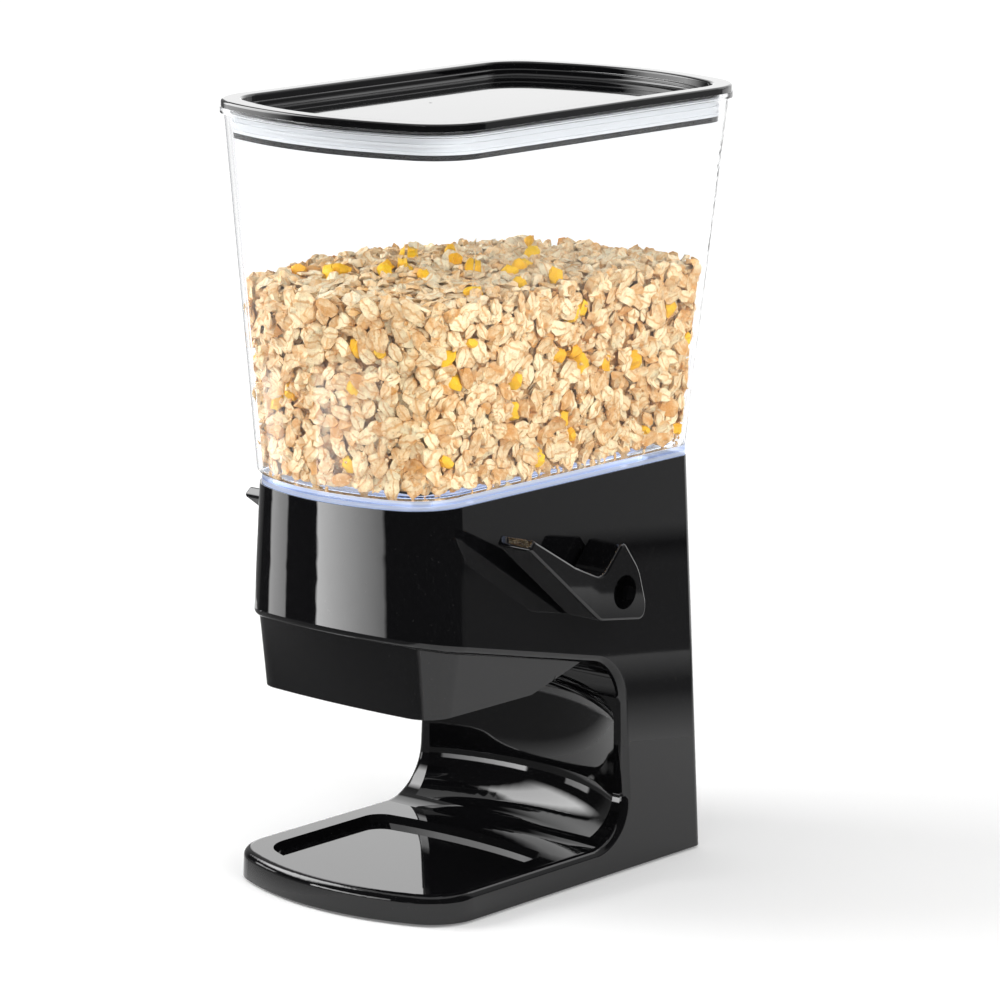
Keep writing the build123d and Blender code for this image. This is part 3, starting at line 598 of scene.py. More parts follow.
@dataclass(frozen=True)
class Grain(Finish):
    """Dry cereal: each piece has a tone of its own, a darker rim, bran specks and fine wrinkles."""

    toasted: Colour = (0.5, 0.26, 0.09)
    speck: Colour = (0.3, 0.13, 0.045)
    speck_share: float = 0.5
    speck_scale: float = 1100.0
    rim: float = 0.7
    rim_from: float = 0.6
    mottle: float = 0.35
    mottle_scale: float = 260.0
    crease: float = 0.75
    crease_width: float = 0.13
    crease_drift: float = 0.12
    drift_scale: float = 300.0
    wrinkle_scale: float = 900.0
    wrinkle_depth: float = 0.0003
    wrinkle_roughness: float = 0.9

    def surface(self, desk: NodeDesk, shader: Node, place: Socket) -> None:
        """Tone of each piece, bran specks, toasted rim and wrinkles.

        Args:
            desk: Desk of the material.
            shader: The shader.
            place: Coordinates on the piece.
        """
        tone = desk.add("ShaderNodeAttribute", attribute_name="tone").outputs["Fac"]
        mottle = desk.noise(place, self.mottle_scale)
        lean = desk.maths("ADD", tone, desk.remap(mottle, 0.3, 0.7, -self.mottle, self.mottle), clamp=True)
        base = desk.blend(lean, self.colour, self.toasted)
        specks = desk.remap(desk.noise(place, self.speck_scale, 2.0), 0.6, 0.7, 0.0, self.speck_share)
        base = desk.blend(specks, base, self.speck)
        edge = desk.add("ShaderNodeAttribute", attribute_name="rim").outputs["Fac"]
        base = desk.blend(desk.remap(edge, self.rim_from, 1.0, 0.0, self.rim), base, self.toasted)
        own = desk.add("ShaderNodeAttribute", attribute_name="own").outputs["Vector"]
        parts = desk.split(own)
        waves = desk.noise(place, self.drift_scale, 2.0)
        drift = desk.remap(waves, 0.3, 0.7, -self.crease_drift, self.crease_drift)
        across = desk.maths("ABSOLUTE", desk.maths("ADD", parts["Y"], drift))
        crease = desk.remap(across, 0.02, self.crease_width, self.crease, 0.0)
        base = desk.blend(crease, base, self.toasted)
        desk.link(base, shader.inputs["Base Color"])
        folds = desk.noise(place, self.wrinkle_scale, 4.0)
        self.bump(desk, shader, folds, self.wrinkle_depth)
        rough = desk.remap(folds, 0.3, 0.7, self.roughness, self.wrinkle_roughness)
        desk.link(rough, shader.inputs["Roughness"])


GLOSS_BLACK = MouldedPlastic(
    "black_gloss", Slot.GLOSS_BLACK, (0.004, 0.004, 0.0045), 0.03, wave_depth=0.05, smear=0.015, dust=0.04
)
SATIN_BLACK = MouldedPlastic(
    "black_satin", Slot.SATIN_BLACK, (0.022, 0.022, 0.024), 0.38,
    wave_depth=0.1, grain_depth=0.35, grain_scale=1800.0, smear=0.08,
)
RUBBER_BLACK = MouldedPlastic(
    "black_rubber", Slot.SOFT_BLACK, (0.018, 0.018, 0.018), 0.72,
    grain_depth=0.5, grain_scale=1400.0, smear=0.05, dust=0.6,
)
SEAL_FROST = MouldedPlastic(
    "frosted_seal", Slot.SOFT_FROST, (0.7, 0.71, 0.73), 0.3,
    grain_depth=0.2, smear=0.05, dust=0.1, dust_colour=(0.6, 0.6, 0.58),
)
IVORY_BUSH = MouldedPlastic(
    "ivory_bush", Slot.IVORY, (0.8, 0.78, 0.71), 0.35, grain_depth=0.2, smear=0.1, dust=0.2,
)
CLEAR = ClearPlastic(
    "clear_hopper", Slot.CLEAR, (0.985, 0.99, 0.995), 0.01,
    (
        # Emission strength of the painted highlight stripes that glow in the hopper's foot.
        ("Transmission Weight", 1.0), ("IOR", 1.45), ("Emission Strength", 0.36),
        ("Specular Tint", (0.35, 0.35, 0.37, 1.0)),
    ),
)
STEEL = Metal("turned_steel", Slot.STEEL, (0.6, 0.6, 0.61), 0.28, (("Metallic", 1.0),))
SPRING_STEEL = Metal(
    "spring_steel", Slot.STEEL, (0.5, 0.49, 0.47), 0.3, (("Metallic", 1.0),), line_scale=1500.0
)
ZINC = Metal(
    "zinc_plated", Slot.ZINC, (0.68, 0.69, 0.72), 0.32, (("Metallic", 1.0),),
    line_scale=500.0, stretch=3.0, tone=0.4,
)

OAT = Grain("rolled_oat", None, (0.98, 0.84, 0.54), 0.6, toasted=(0.66, 0.31, 0.08))
# Painted light: the flakes on the surface get lighter, less toasted colours than the same oats along the
# wall, standing in for light on the top.
OAT_TOP_PAINTED_LIGHT = Grain("rolled_oat_top_painted_light", None, (0.98, 0.85, 0.6), 0.6, toasted=(0.8, 0.45, 0.16), rim=0.4)
# Painted shade: the hidden core is oat coloured darker and browner, standing in for the shade in the gaps
# between the loose pieces.
OAT_CORE_PAINTED_SHADE = Grain("oat_depth_painted_shade", None, (0.6, 0.34, 0.13), 0.8, toasted=(0.4, 0.19, 0.06), crease=0.0)
CORN = Grain(
    "toasted_corn", None, (0.97, 0.6, 0.015), 0.38, toasted=(0.92, 0.42, 0.01), speck_share=0.1, rim=0.1,
    mottle=0.15, crease=0.0, speck_scale=700.0, wrinkle_scale=400.0, wrinkle_depth=0.0004,
)

CAD_FINISHES: dict[Slot, Finish] = {
    Slot.GLOSS_BLACK: GLOSS_BLACK,
    Slot.SATIN_BLACK: SATIN_BLACK,
    Slot.CLEAR: CLEAR,
    Slot.SOFT_BLACK: RUBBER_BLACK,
    Slot.SOFT_FROST: SEAL_FROST,
    Slot.IVORY: IVORY_BUSH,
    Slot.STEEL: STEEL,
    Slot.ZINC: ZINC,
}


# Modelling with operators


def let_go() -> None:
    """Deselect every object."""
    bpy.ops.object.select_all(action="DESELECT")


def take(piece: Piece) -> Piece:
    """Make a piece the only selected and the active object.

    Args:
        piece: The piece.

    Returns:
        The piece.
    """
    let_go()
    piece.select_set(True)
    bpy.context.view_layer.objects.active = piece
    return piece


@contextmanager
def editing(piece: Piece, mode: str = "FACE") -> Iterator[None]:
    """Edit mode on a piece, with nothing selected at first.

    Args:
        piece: The piece to edit.
        mode: VERT, EDGE or FACE.

    Yields:
        Nothing; the piece is in edit mode meanwhile.
    """
    take(piece)
    bpy.ops.object.mode_set(mode="EDIT")
    bpy.ops.mesh.select_mode(type=mode)
    bpy.ops.mesh.select_all(action="DESELECT")
    yield
    bpy.ops.object.mode_set(mode="OBJECT")


def pick_faces(piece: Piece, wanted: Callable[[bmesh.types.BMFace], bool]) -> int:
    """Select faces of the piece in edit mode by a test.

    Args:
        piece: The piece in edit mode.
        wanted: Test of a face.

    Returns:
        How many faces were selected.
    """
    mesh = bmesh.from_edit_mesh(piece.data)
    count = 0
    for face in mesh.faces:
        chosen = wanted(face)
        face.select_set(chosen)
        count += chosen
    mesh.select_flush_mode()
    bmesh.update_edit_mesh(piece.data)
    return count


def finish_with(piece: Piece, kind: str, **values: object) -> None:
    """Add a modifier, set it and apply it.

    Args:
        piece: The piece.
        kind: Modifier type.
        values: Its settings.
    """
    take(piece)
    modifier = piece.modifiers.new(kind.title(), kind)
    for name, value in values.items():
        setattr(modifier, name, value)
    bpy.ops.object.modifier_apply(modifier=modifier.name)


def copied(source: Piece) -> Piece:
    """Copy a piece with a mesh of its own and put the copy in the scene.

    Args:
        source: The piece to copy.

    Returns:
        The copy.
    """
    twin = source.copy()
    twin.data = source.data.copy()
    bpy.context.scene.collection.objects.link(twin)
    return twin


def settle(piece: Piece) -> None:
    """Put the piece's place and turn into its mesh."""
    take(piece)
    bpy.ops.object.transform_apply(location=True, rotation=True, scale=True)


def dress(
    piece: Piece, name: str, finish: Finish, body: Body, replaces: Sequence[str] = ()
) -> Piece:
    """Name a finished piece, give it its finish and let it ride on its body.

    Args:
        piece: The finished piece.
        name: Its name.
        finish: Its finish.
        body: The body that carries it.
        replaces: CAD nodes that it stands for.

    Returns:
        The piece.
    """
    piece.name = name
    piece.data.name = name
    piece.data.materials.clear()
    piece.data.materials.append(finish.material())
    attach(piece, body.value)
    if replaces:
        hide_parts(*replaces)
    LOG.info("%s: %d faces", name, len(piece.data.polygons))
    return piece


# Camera, light and room


def outwards(azimuth: float, elevation: float) -> Vector:
    """Direction out from the object, by degrees from the front towards the right and over the ground."""
    turn, tilt = math.radians(azimuth), math.radians(elevation)
    return Vector((math.sin(turn) * math.cos(tilt), -math.cos(turn) * math.cos(tilt), math.sin(tilt)))


def show_in_gloss_only(piece: Piece) -> None:
    """Hide a piece of the room from everything but reflections."""
    for ray in ("camera", "diffuse", "transmission", "volume_scatter", "shadow"):
        setattr(piece, f"visible_{ray}", False)


def reach_of_sight(desk: NodeDesk) -> Socket:
    """One for rays of sight, also by way of gloss or clear parts, and zero for the light of the room.

    Args:
        desk: Desk of the material or world.

    Returns:
        The result's socket.
    """
    path = desk.add("ShaderNodeLightPath")
    seen = desk.maths("ADD", path.outputs["Is Camera Ray"], path.outputs["Is Glossy Ray"])
    return desk.maths("ADD", seen, path.outputs["Is Transmission Ray"], clamp=True)


def end_in_light(desk: NodeDesk, strength: Socket) -> None:
    """End a material in plain light.

    Args:
        desk: Desk of the material.
        strength: How strong the light is.
    """
    glow = desk.add("ShaderNodeEmission")
    desk.link(strength, glow.inputs["Strength"])
    output = desk.add("ShaderNodeOutputMaterial")
    desk.link(glow.outputs[0], output.inputs["Surface"])


@dataclass
class StudioCamera:
    """Camera fitted to the photograph's edges."""

    azimuth: float = 41.2
    pitch: float = 12.1
    roll: float = 0.21
    distance: float = 2.3177
    target: Point = (0.0386, -0.0283, 0.195)
    lens: float = 170.95

    def build(self) -> None:
        """Make the camera and set it as the scene's."""
        turn, roll = math.radians(self.azimuth), math.radians(self.roll)
        back = outwards(self.azimuth, self.pitch)
        right = Vector((math.cos(turn), math.sin(turn), 0.0))
        up = back.cross(right)
        side = right * math.cos(roll) + up * math.sin(roll)
        head = up * math.cos(roll) - right * math.sin(roll)
        data = bpy.data.cameras.new("photo_camera")
        data.lens = self.lens
        data.sensor_width = 36.0
        camera = bpy.data.objects.new("photo_camera", data)
        bpy.context.scene.collection.objects.link(camera)
        turned = Matrix((side, head, back)).transposed().to_4x4()
        camera.matrix_world = Matrix.Translation(Vector(self.target) + back * self.distance) @ turned
        data.clip_end = 20.0
        bpy.context.scene.camera = camera


@dataclass(frozen=True)
class SoftBox:
    """A rectangular soft lamp that faces a point of the object."""

    name: str
    azimuth: float
    elevation: float
    distance: float
    width: float
    height: float
    power: float
    aim: Point = (0.0, 0.0, 0.2)

    def build(self) -> None:
        """Make the lamp."""
        data = bpy.data.lights.new(self.name, "AREA")
        data.shape = "RECTANGLE"
        data.size, data.size_y = self.width, self.height
        data.energy = self.power
        lamp = bpy.data.objects.new(self.name, data)
        bpy.context.scene.collection.objects.link(lamp)
        out = outwards(self.azimuth, self.elevation)
        lamp.location = Vector(self.aim) + out * self.distance
        lamp.rotation_mode = "QUATERNION"
        lamp.rotation_quaternion = (-out).to_track_quat("-Z", "Y")
        lamp.visible_camera = False
        lamp.visible_glossy = False


@dataclass(frozen=True)
class Card:
    """A lit patch of the studio wall, as the gloss sees it: bearings in degrees, heights in metres."""

    name: str
    start: float
    end: float
    low: float
    high: float
    level: float
    level_at_end: float
    edge: float = 1.5
    fade: float = 0.012


@dataclass
class StudioWall:
    """Round wall that only reflections see: dark, with lit cards, so that the gloss has something to show."""

    radius: float = 0.7
    height: float = 1.1
    dark: float = 0.03
    cards: tuple[Card, ...] = (
        Card("narrow_strip", -71.5, -56.0, -0.1, 0.125, 3.2, 2.6, fade=0.02),
        Card("wide_strip", -37.0, 0.5, -0.1, 0.125, 9.5, 2.6, fade=0.02),
        Card("key_window", -92.0, -40.0, 0.26, 1.1, 8.5, 8.5, 14.0, 0.14),
        Card("left_wall", -122.0, -80.0, -0.1, 1.1, 0.35, 0.1, 8.0),
        Card("right_wall", 122.0, 152.0, 0.07, 1.1, 0.3, 0.46, 4.0),
        Card("right_foot", 118.0, 152.0, -0.1, 0.07, 0.1, 0.14, 4.0),
        Card("backdrop_right", 150.0, 181.0, -0.1, 1.1, 1.7, 1.7, 2.0),
        Card("backdrop_left", -181.0, -118.0, -0.1, 1.1, 1.7, 1.7, 4.0),
    )

    def build(self) -> None:
        """Make the wall and hide it from everything but reflections."""
        let_go()
        bpy.ops.mesh.primitive_cylinder_add(
            vertices=96,
            radius=self.radius,
            depth=self.height,
            end_fill_type="NOTHING",
            location=(0.0, 0.0, self.height / 2),
        )
        wall = bpy.context.active_object
        settle(wall)
        wall.name = "studio_wall"
        show_in_gloss_only(wall)
        wall.data.materials.append(self._material())

    def _material(self) -> bpy.types.Material:
        """Light of the wall: the cards over a dark ground.

        Returns:
            The material.
        """
        made, desk = new_material("studio_wall")
        place = desk.add("ShaderNodeTexCoord").outputs["Object"]
        parts = desk.split(place)
        ahead = desk.maths("MULTIPLY", parts["Y"], -1.0)
        bearing = desk.maths("ARCTAN2", parts["X"], ahead)
        degrees = desk.maths("MULTIPLY", bearing, 180.0 / math.pi)
        total: Socket | float = self.dark
        for card in self.cards:
            total = desk.maths("ADD", total, self._card(desk, card, degrees, parts["Z"]))
        end_in_light(desk, total)
        return made

    @staticmethod
    def _card(desk: NodeDesk, card: Card, degrees: Socket, height: Socket) -> Socket:
        """Light of one card.

        Args:
            desk: Desk of the material.
            card: The card.
            degrees: Bearing on the wall.
            height: Height on the wall.

        Returns:
            The card's light at each point.
        """
        inside = desk.remap(degrees, card.start, card.start + card.edge, 0.0, 1.0)
        until = desk.remap(degrees, card.end - card.edge, card.end, 1.0, 0.0)
        above = desk.remap(height, card.low, card.low + card.fade, 0.0, 1.0)
        below = desk.remap(height, card.high - card.fade, card.high, 1.0, 0.0)
        level = desk.remap(degrees, card.start, card.end, card.level, card.level_at_end)
        sides = desk.maths("MULTIPLY", inside, until)
        ends = desk.maths("MULTIPLY", above, below)
        return desk.maths("MULTIPLY", desk.maths("MULTIPLY", sides, ends), level)


@dataclass
class FloorCard:
    """Dark card on the floor that only reflections see, so that part of the gloss stays dark."""

    name: str
    bearing: float
    distance: float
    depth: float
    width: float
    level: float
    soft_width: float
    soft_depth: float
    lift: float = 0.0006
    around: float = 1.05

    def build(self) -> None:
        """Lay the card on the floor and hide it from everything but reflections."""
        let_go()
        turn = math.radians(self.bearing)
        bpy.ops.mesh.primitive_plane_add(
            size=1.0,
            location=(math.sin(turn) * self.distance, -math.cos(turn) * self.distance, self.lift),
            rotation=(0.0, 0.0, turn),
        )
        card = bpy.context.active_object
        card.scale = (self.width, self.depth, 1.0)
        settle(card)
        card.name = self.name
        show_in_gloss_only(card)
        made, desk = new_material(self.name)
        parts = desk.split(desk.add("ShaderNodeTexCoord").outputs["UV"])
        dark: Socket | float = 1.0
        for place, soft in ((parts["X"], self.soft_width), (parts["Y"], self.soft_depth)):
            dark = desk.maths("MULTIPLY", desk.remap(place, 0.0, soft, 0.0, 1.0), dark)
            dark = desk.maths("MULTIPLY", desk.remap(place, 1.0 - soft, 1.0, 1.0, 0.0), dark)
        end_in_light(desk, desk.remap(dark, 0.0, 1.0, self.around, self.level))
        card.data.materials.append(made)


@dataclass
class Studio:
    """Pale floor, white surround and soft lamps."""

    floor_size: float = 12.0
    floor_colour: Colour = (0.9, 0.9, 0.9)
    near_lift: float = 0.16
    far_lift: float = 0.62
    near: float = 0.5
    far: float = 1.6
    ambient: float = 0.5
    cards: tuple[FloorCard, ...] = (
        FloorCard("front_card", -39.0, 0.4, 0.56, 1.1, 0.2, 0.14, 0.07),
        FloorCard("side_card", 137.0, 0.58, 0.34, 0.6, 0.14, 0.2, 0.45),
    )
    lamps: tuple[SoftBox, ...] = (
        SoftBox("key_left", -55.0, 30.0, 1.3, 0.7, 0.7, 11.5),
        SoftBox("fill_right", 80.0, 26.0, 1.8, 1.2, 1.2, 14.0),
        SoftBox("top", 0.0, 88.0, 1.6, 1.2, 1.2, 6.0),
    )

    def build(self) -> None:
        """Make the floor, the world, the wall and the lamps."""
        self._floor()
        self._world()
        StudioWall().build()
        for card in self.cards:
            card.build()
        for lamp in self.lamps:
            lamp.build()
        bpy.context.scene.view_settings.view_transform = "Standard"

    def _floor(self) -> None:
        """Counter under the dispenser: white where the camera sees it, with the object's shadow."""
        let_go()
        bpy.ops.mesh.primitive_plane_add(size=self.floor_size, location=(0.0, 0.0, 0.0))
        floor = bpy.context.active_object
        floor.name = "floor"
        made, desk = new_material("floor_white")
        shader = desk.add("ShaderNodeBsdfDiffuse")
        shader.inputs["Color"].default_value = (*self.floor_colour, 1.0)
        seen = reach_of_sight(desk)
        glow = desk.add("ShaderNodeEmission")
        away = desk.add("ShaderNodeVectorMath", operation="LENGTH")
        desk.link(desk.add("ShaderNodeTexCoord").outputs["Object"], away.inputs[0])
        lift = desk.remap(away.outputs["Value"], self.near, self.far, self.near_lift, self.far_lift)
        desk.link(desk.maths("MULTIPLY", seen, lift), glow.inputs["Strength"])
        both = desk.add("ShaderNodeAddShader")
        desk.link(shader.outputs["BSDF"], both.inputs[0])
        desk.link(glow.outputs[0], both.inputs[1])
        output = desk.add("ShaderNodeOutputMaterial")
        desk.link(both.outputs[0], output.inputs["Surface"])
        floor.data.materials.append(made)

    def _world(self) -> None:
        """White to the camera, to reflections and through clear parts; a plain grey light otherwise."""
        world = bpy.data.worlds.new("studio")
        bpy.context.scene.world = world
        world.use_nodes = True
        desk = NodeDesk(world.node_tree)
        strength = desk.remap(reach_of_sight(desk), 0.0, 1.0, self.ambient, 1.0)
        background = desk.add("ShaderNodeBackground")
        background.inputs["Color"].default_value = (1.0, 1.0, 1.0, 1.0)
        desk.link(strength, background.inputs["Strength"])
        output = desk.add("ShaderNodeOutputWorld")
        desk.link(background.outputs[0], output.inputs["Surface"])


# The dispenser


@dataclass
class PackedParts:
    """CAD parts whose shape is right as it is: they only get their finish."""

    def dress(self) -> None:
        """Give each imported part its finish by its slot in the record."""
        for row in frame["record"]["subparts"]:
            name = row["node"]
            finish = CAD_FINISHES[Slot(row["material_slot"])]
            mesh = frame["nodes"][name].data
            mesh.materials.clear()
            mesh.materials.append(finish.material())
            LOG.info("%s: packed, %s", name, finish.name)


@dataclass
class ReturnSprings:
    """The two coil springs over the flap's tails, which shorten as the flap opens; here they keep one length.
    """

    seat_height: float = 0.1706
    pressed: float = 0.26
    springs: tuple[tuple[str, str], ...] = (
        ("coil_left", "return_spring_left"),
        ("coil_right", "return_spring_right"),
    )

    def build(self) -> None:
        """Copy each packed spring, close its seams, smooth it and set it on the stand in place of the packed
        one.
        """
        for name, node in self.springs:
            coil = copied(frame["nodes"][node])
            with editing(coil, "VERT"):
                bpy.ops.mesh.select_all(action="SELECT")
                bpy.ops.mesh.remove_doubles(threshold=WELD)
                bpy.ops.mesh.normals_make_consistent(inside=False)
            take(coil)
            bpy.ops.object.shade_smooth_by_angle(angle=math.radians(40))
            dress(coil, name, SPRING_STEEL, Body.STAND, (node,))
            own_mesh(coil)


@dataclass
class Cereal:
    """Oats and corn in the hopper: loose pieces over a hidden core, all inside the hopper's walls.

    Lengths are in metres, curls and leans in degrees. Sizes are least and greatest scales of a template. One
    kernel in kernels_per_top lies on the surface and the rest along the wall. Heaps are low rises of the
    surface: place across, place along, spread and height.
    """

    level: float = 0.299
    floor: float = 0.2077
    wall: float = 0.0022
    core_inset: float = 0.0085
    core_drop: float = 0.008
    row_step: float = 0.0062
    column_step: float = 0.0066
    flake_radius: float = 0.0052
    flake_thickness: float = 0.0009
    flake_sides: int = 10
    flake_rim: float = 0.34
    flake_swell: float = 0.35
    flake_unevenness: float = 0.2
    flake_slimness: float = 0.62
    flake_shapes: int = 5
    least_curl: float = 18.0
    curl_step: float = 14.0
    wall_lean: float = 38.0
    top_lean: float = 55.0
    wall_sizes: Span = (0.78, 1.25)
    wall_reach: float = 1.12
    wall_gap: float = 0.0014
    wall_jitter: float = 0.4
    unevenness: float = 0.0012
    top_sizes: Span = (0.72, 1.12)
    top_reach: float = 1.15
    layer_depth: float = 0.0035
    layer_density: float = 0.9
    lump_unevenness: float = 0.34
    crumb_shapes: int = 3
    kernel_shapes: int = 4
    crumb_half: Point = (0.0013, 0.001, 0.0008)
    crumb_count: int = 900
    crumb_sizes: Span = (0.6, 1.3)
    crumb_insets: Span = (0.0019, 0.004)
    crumb_sinking: float = 1.4
    kernel_half: Point = (0.005, 0.0043, 0.003)
    kernel_reach: float = 0.0055
    kernel_sizes: Span = (0.8, 1.15)
    corn_count: int = 76
    corn_clearance: float = 0.0058
    kernels_per_top: int = 4
    middle_y: float = -0.012
    ring_step: float = 0.003
    tones: Span = (1.0, 2.4)
    seed: int = 11
    rings: dict[float, tuple[np.ndarray, np.ndarray]] = field(default_factory=dict)
    heaps: tuple[tuple[float, float, float, float], ...] = (
        (-0.045, -0.03, 0.04, 0.006),
        (0.05, 0.04, 0.045, 0.003),
        (0.01, -0.08, 0.05, 0.003),
    )

    def build(self) -> None:
        """Make the core, then the layers of pieces over it."""
        self.draw = np.random.default_rng(self.seed)
        space = self._space()
        self.tree = BVHTree.FromObject(space, bpy.context.evaluated_depsgraph_get())
        self._core(space)
        oats = [self._flake(number) for number in range(self.flake_shapes)]
        crumbs = [self._lump("crumb", 1, self.crumb_half, number) for number in range(self.crumb_shapes)]
        kernels = [self._lump("kernel", 2, self.kernel_half, number) for number in range(self.kernel_shapes)]
        corn = self._corn_places(self.corn_count)
        walls = self._clear_of(self._wall_places(0.0, 1.0), corn)
        depths = self._wall_places(self.layer_depth, self.layer_density)
        tops = self._clear_of(self._top_places(0.0, 1.0), corn)
        tops += self._top_places(-self.layer_depth, self.layer_density)
        self._scatter("cereal_oats_wall", oats, walls, OAT)
        self._scatter("cereal_oats_depth", oats, depths, OAT)
        # The surface flakes wear the lighter copy of the oat colours, a painted light on the top.
        self._scatter("cereal_oats_top", oats, tops, OAT_TOP_PAINTED_LIGHT)
        self._scatter("cereal_crumbs", crumbs, self._crumb_places(self.crumb_count), OAT)
        self._scatter("cereal_corn", kernels, corn, CORN)
        for template in (*oats, *crumbs, *kernels, space):
            bpy.data.objects.remove(template)

    def _space(self) -> Piece:
        """Solid block of the hopper's outside from foot to fill line, cut from a copy of the hopper.

        Returns:
            The block.
        """
        space = copied(frame["nodes"]["hopper"])
        with editing(space, "VERT"):
            bpy.ops.mesh.select_all(action="SELECT")
            bpy.ops.mesh.remove_doubles(threshold=WELD)
            for height, lower in ((self.level + 0.03, False), (self.floor + 0.003, True)):
                bpy.ops.mesh.select_all(action="SELECT")
                bpy.ops.mesh.bisect(
                    plane_co=(0.0, 0.0, height),
                    plane_no=(0.0, 0.0, 1.0),
                    clear_inner=lower,
                    clear_outer=not lower,
                )
            bpy.ops.mesh.select_all(action="SELECT")
            bpy.ops.mesh.convex_hull()
        return space

    def _core(self, space: Piece) -> None:
        """Mass behind the loose pieces, painted dark brown as the shade deep among them.

        Args:
            space: Block of the hopper's outside.
        """
        core = copied(space)
        low, high = Vector(core.bound_box[0]), Vector(core.bound_box[6])
        middle = (low + high) / 2
        shrink = [1 - 2 * (self.core_inset + self.wall) / (high[axis] - low[axis]) for axis in range(2)]
        with editing(core, "VERT"):
            bpy.ops.mesh.select_all(action="SELECT")
            bpy.ops.transform.resize(value=(*shrink, 1.0), center_override=middle)
            bpy.ops.mesh.select_all(action="SELECT")
            bpy.ops.mesh.bisect(
                plane_co=(0.0, 0.0, self.level - self.core_drop),
                plane_no=(0.0, 0.0, 1.0),
                use_fill=True,
                clear_outer=True,
            )
        dress(core, "cereal_core", OAT_CORE_PAINTED_SHADE, Body.HOPPER)

    def _flake(self, number: int) -> Piece:
        """One shape of rolled oat: an uneven, slightly curled disc.

        Args:
            number: Which of the shapes.

        Returns:
            The template.
        """
        let_go()
        bpy.ops.mesh.primitive_circle_add(
            vertices=self.flake_sides, radius=self.flake_radius, fill_type="NGON"
        )
        flake = bpy.context.active_object
        half = self.flake_thickness / 2
        with editing(flake):
            bpy.ops.mesh.select_all(action="SELECT")
            bpy.ops.mesh.extrude_region_move(
                TRANSFORM_OT_translate={"value": (0, 0, self.flake_thickness)}
            )
            for top in (True, False):
                bpy.ops.mesh.select_all(action="DESELECT")
                pick_faces(
                    flake,
                    lambda face: len(face.verts) > 4 and (face.calc_center_median().z > half) == top,
                )
                bpy.ops.mesh.inset(
                    thickness=self.flake_radius * self.flake_rim,
                    depth=self.flake_thickness * self.flake_swell,
                )
        with editing(flake, "VERT"):
            bpy.ops.mesh.select_all(action="SELECT")
            bpy.ops.transform.vertex_random(
                offset=self.flake_radius * self.flake_unevenness, uniform=0.3, seed=number + 3
            )
            squeeze = self.flake_slimness + 0.05 * number
            bpy.ops.transform.resize(value=(1.0, squeeze, 0.9), center_override=(0, 0, 0))
            bpy.ops.mesh.normals_make_consistent(inside=False)
        curl = math.radians(self.least_curl + self.curl_step * number)
        finish_with(flake, "SIMPLE_DEFORM", deform_method="BEND", deform_axis="Y", angle=curl)
        take(flake)
        bpy.ops.object.origin_set(type="ORIGIN_GEOMETRY", center="BOUNDS")
        flake.location = (0, 0, 0)
        bpy.ops.object.shade_smooth_by_angle(angle=math.radians(50))
        self._mark(flake)
        return flake

    def _lump(self, name: str, rounds: int, size: Point, number: int) -> Piece:
        """One shape of crumb or corn piece.

        Args:
            name: Name of the template.
            rounds: Subdivisions of the starting ball.
            size: Half sizes.
            number: Which of the shapes.

        Returns:
            The template.
        """
        let_go()
        bpy.ops.mesh.primitive_ico_sphere_add(subdivisions=rounds, radius=1.0)
        lump = bpy.context.active_object
        lump.name = name
        with editing(lump, "VERT"):
            bpy.ops.mesh.select_all(action="SELECT")
            bpy.ops.transform.vertex_random(offset=self.lump_unevenness, uniform=0.2, seed=number + 20)
            bpy.ops.transform.resize(value=size, center_override=(0, 0, 0))
            bpy.ops.mesh.normals_make_consistent(inside=False)
        bpy.ops.object.shade_smooth_by_angle(angle=math.radians(40))
        self._mark(lump)
        return lump

    @staticmethod
    def _mark(piece: Piece) -> None:
        """Give a template what its material reads: its tone, its own coordinates and its rim.

        Args:
            piece: The template.
        """
        points = np.zeros(3 * len(piece.data.vertices))
        piece.data.vertices.foreach_get("co", points)
        reach = np.linalg.norm(points.reshape(-1, 3), axis=1)
        own = piece.data.attributes.new("own", "FLOAT_VECTOR", "POINT")
        own.data.foreach_set("vector", points / reach.max())
        piece.data.attributes.new("tone", "FLOAT", "POINT")
        rim = piece.data.attributes.new("rim", "FLOAT", "POINT")
        rim.data.foreach_set("value", reach / reach.max())

    def _ring(self, height: float) -> tuple[np.ndarray, np.ndarray]:
        """Inner wall of the hopper at a height.

        Args:
            height: The height.

        Returns:
            Points on the wall and outward normals, in order round the hopper.
        """
        points, normals = [], []
        height = max(height, self.floor + 0.004)
        for turn in np.linspace(0.0, 2 * math.pi, 361):
            away = Vector((math.cos(turn), math.sin(turn), 0.0))
            spot, normal, _, _ = self.tree.ray_cast(Vector((0.0, self.middle_y, height)), away)
            if normal.dot(away) < 0:
                normal = -normal
            points.append(spot - normal * self.wall)
            normals.append(normal)
        return np.array(points), np.array(normals)

    def _surface(self, x: float, y: float) -> float:
        """Height of the cereal's surface.

        Args:
            x: Place across the hopper.
            y: Place along the hopper.

        Returns:
            The height.
        """
        rise = sum(
            height * math.exp(-((x - left) ** 2 + (y - front) ** 2) / (2 * spread**2))
            for left, front, spread, height in self.heaps
        )
        return self.level + rise

    def _lean(self, normal: Vector, most: float) -> Matrix:
        """Random turn of a piece that lies against a surface.

        Args:
            normal: Normal of the surface.
            most: Largest usual tilt off the surface.

        Returns:
            The turn.
        """
        tilt = abs(self.draw.normal(0.0, most / 2))
        side = Matrix.Rotation(self.draw.uniform(0, 2 * math.pi), 3, "Z")
        lean = Matrix.Rotation(tilt, 3, "X")
        spin = Matrix.Rotation(self.draw.uniform(0, 2 * math.pi), 3, "Z")
        return normal.to_track_quat("Z", "Y").to_matrix() @ side @ lean @ spin

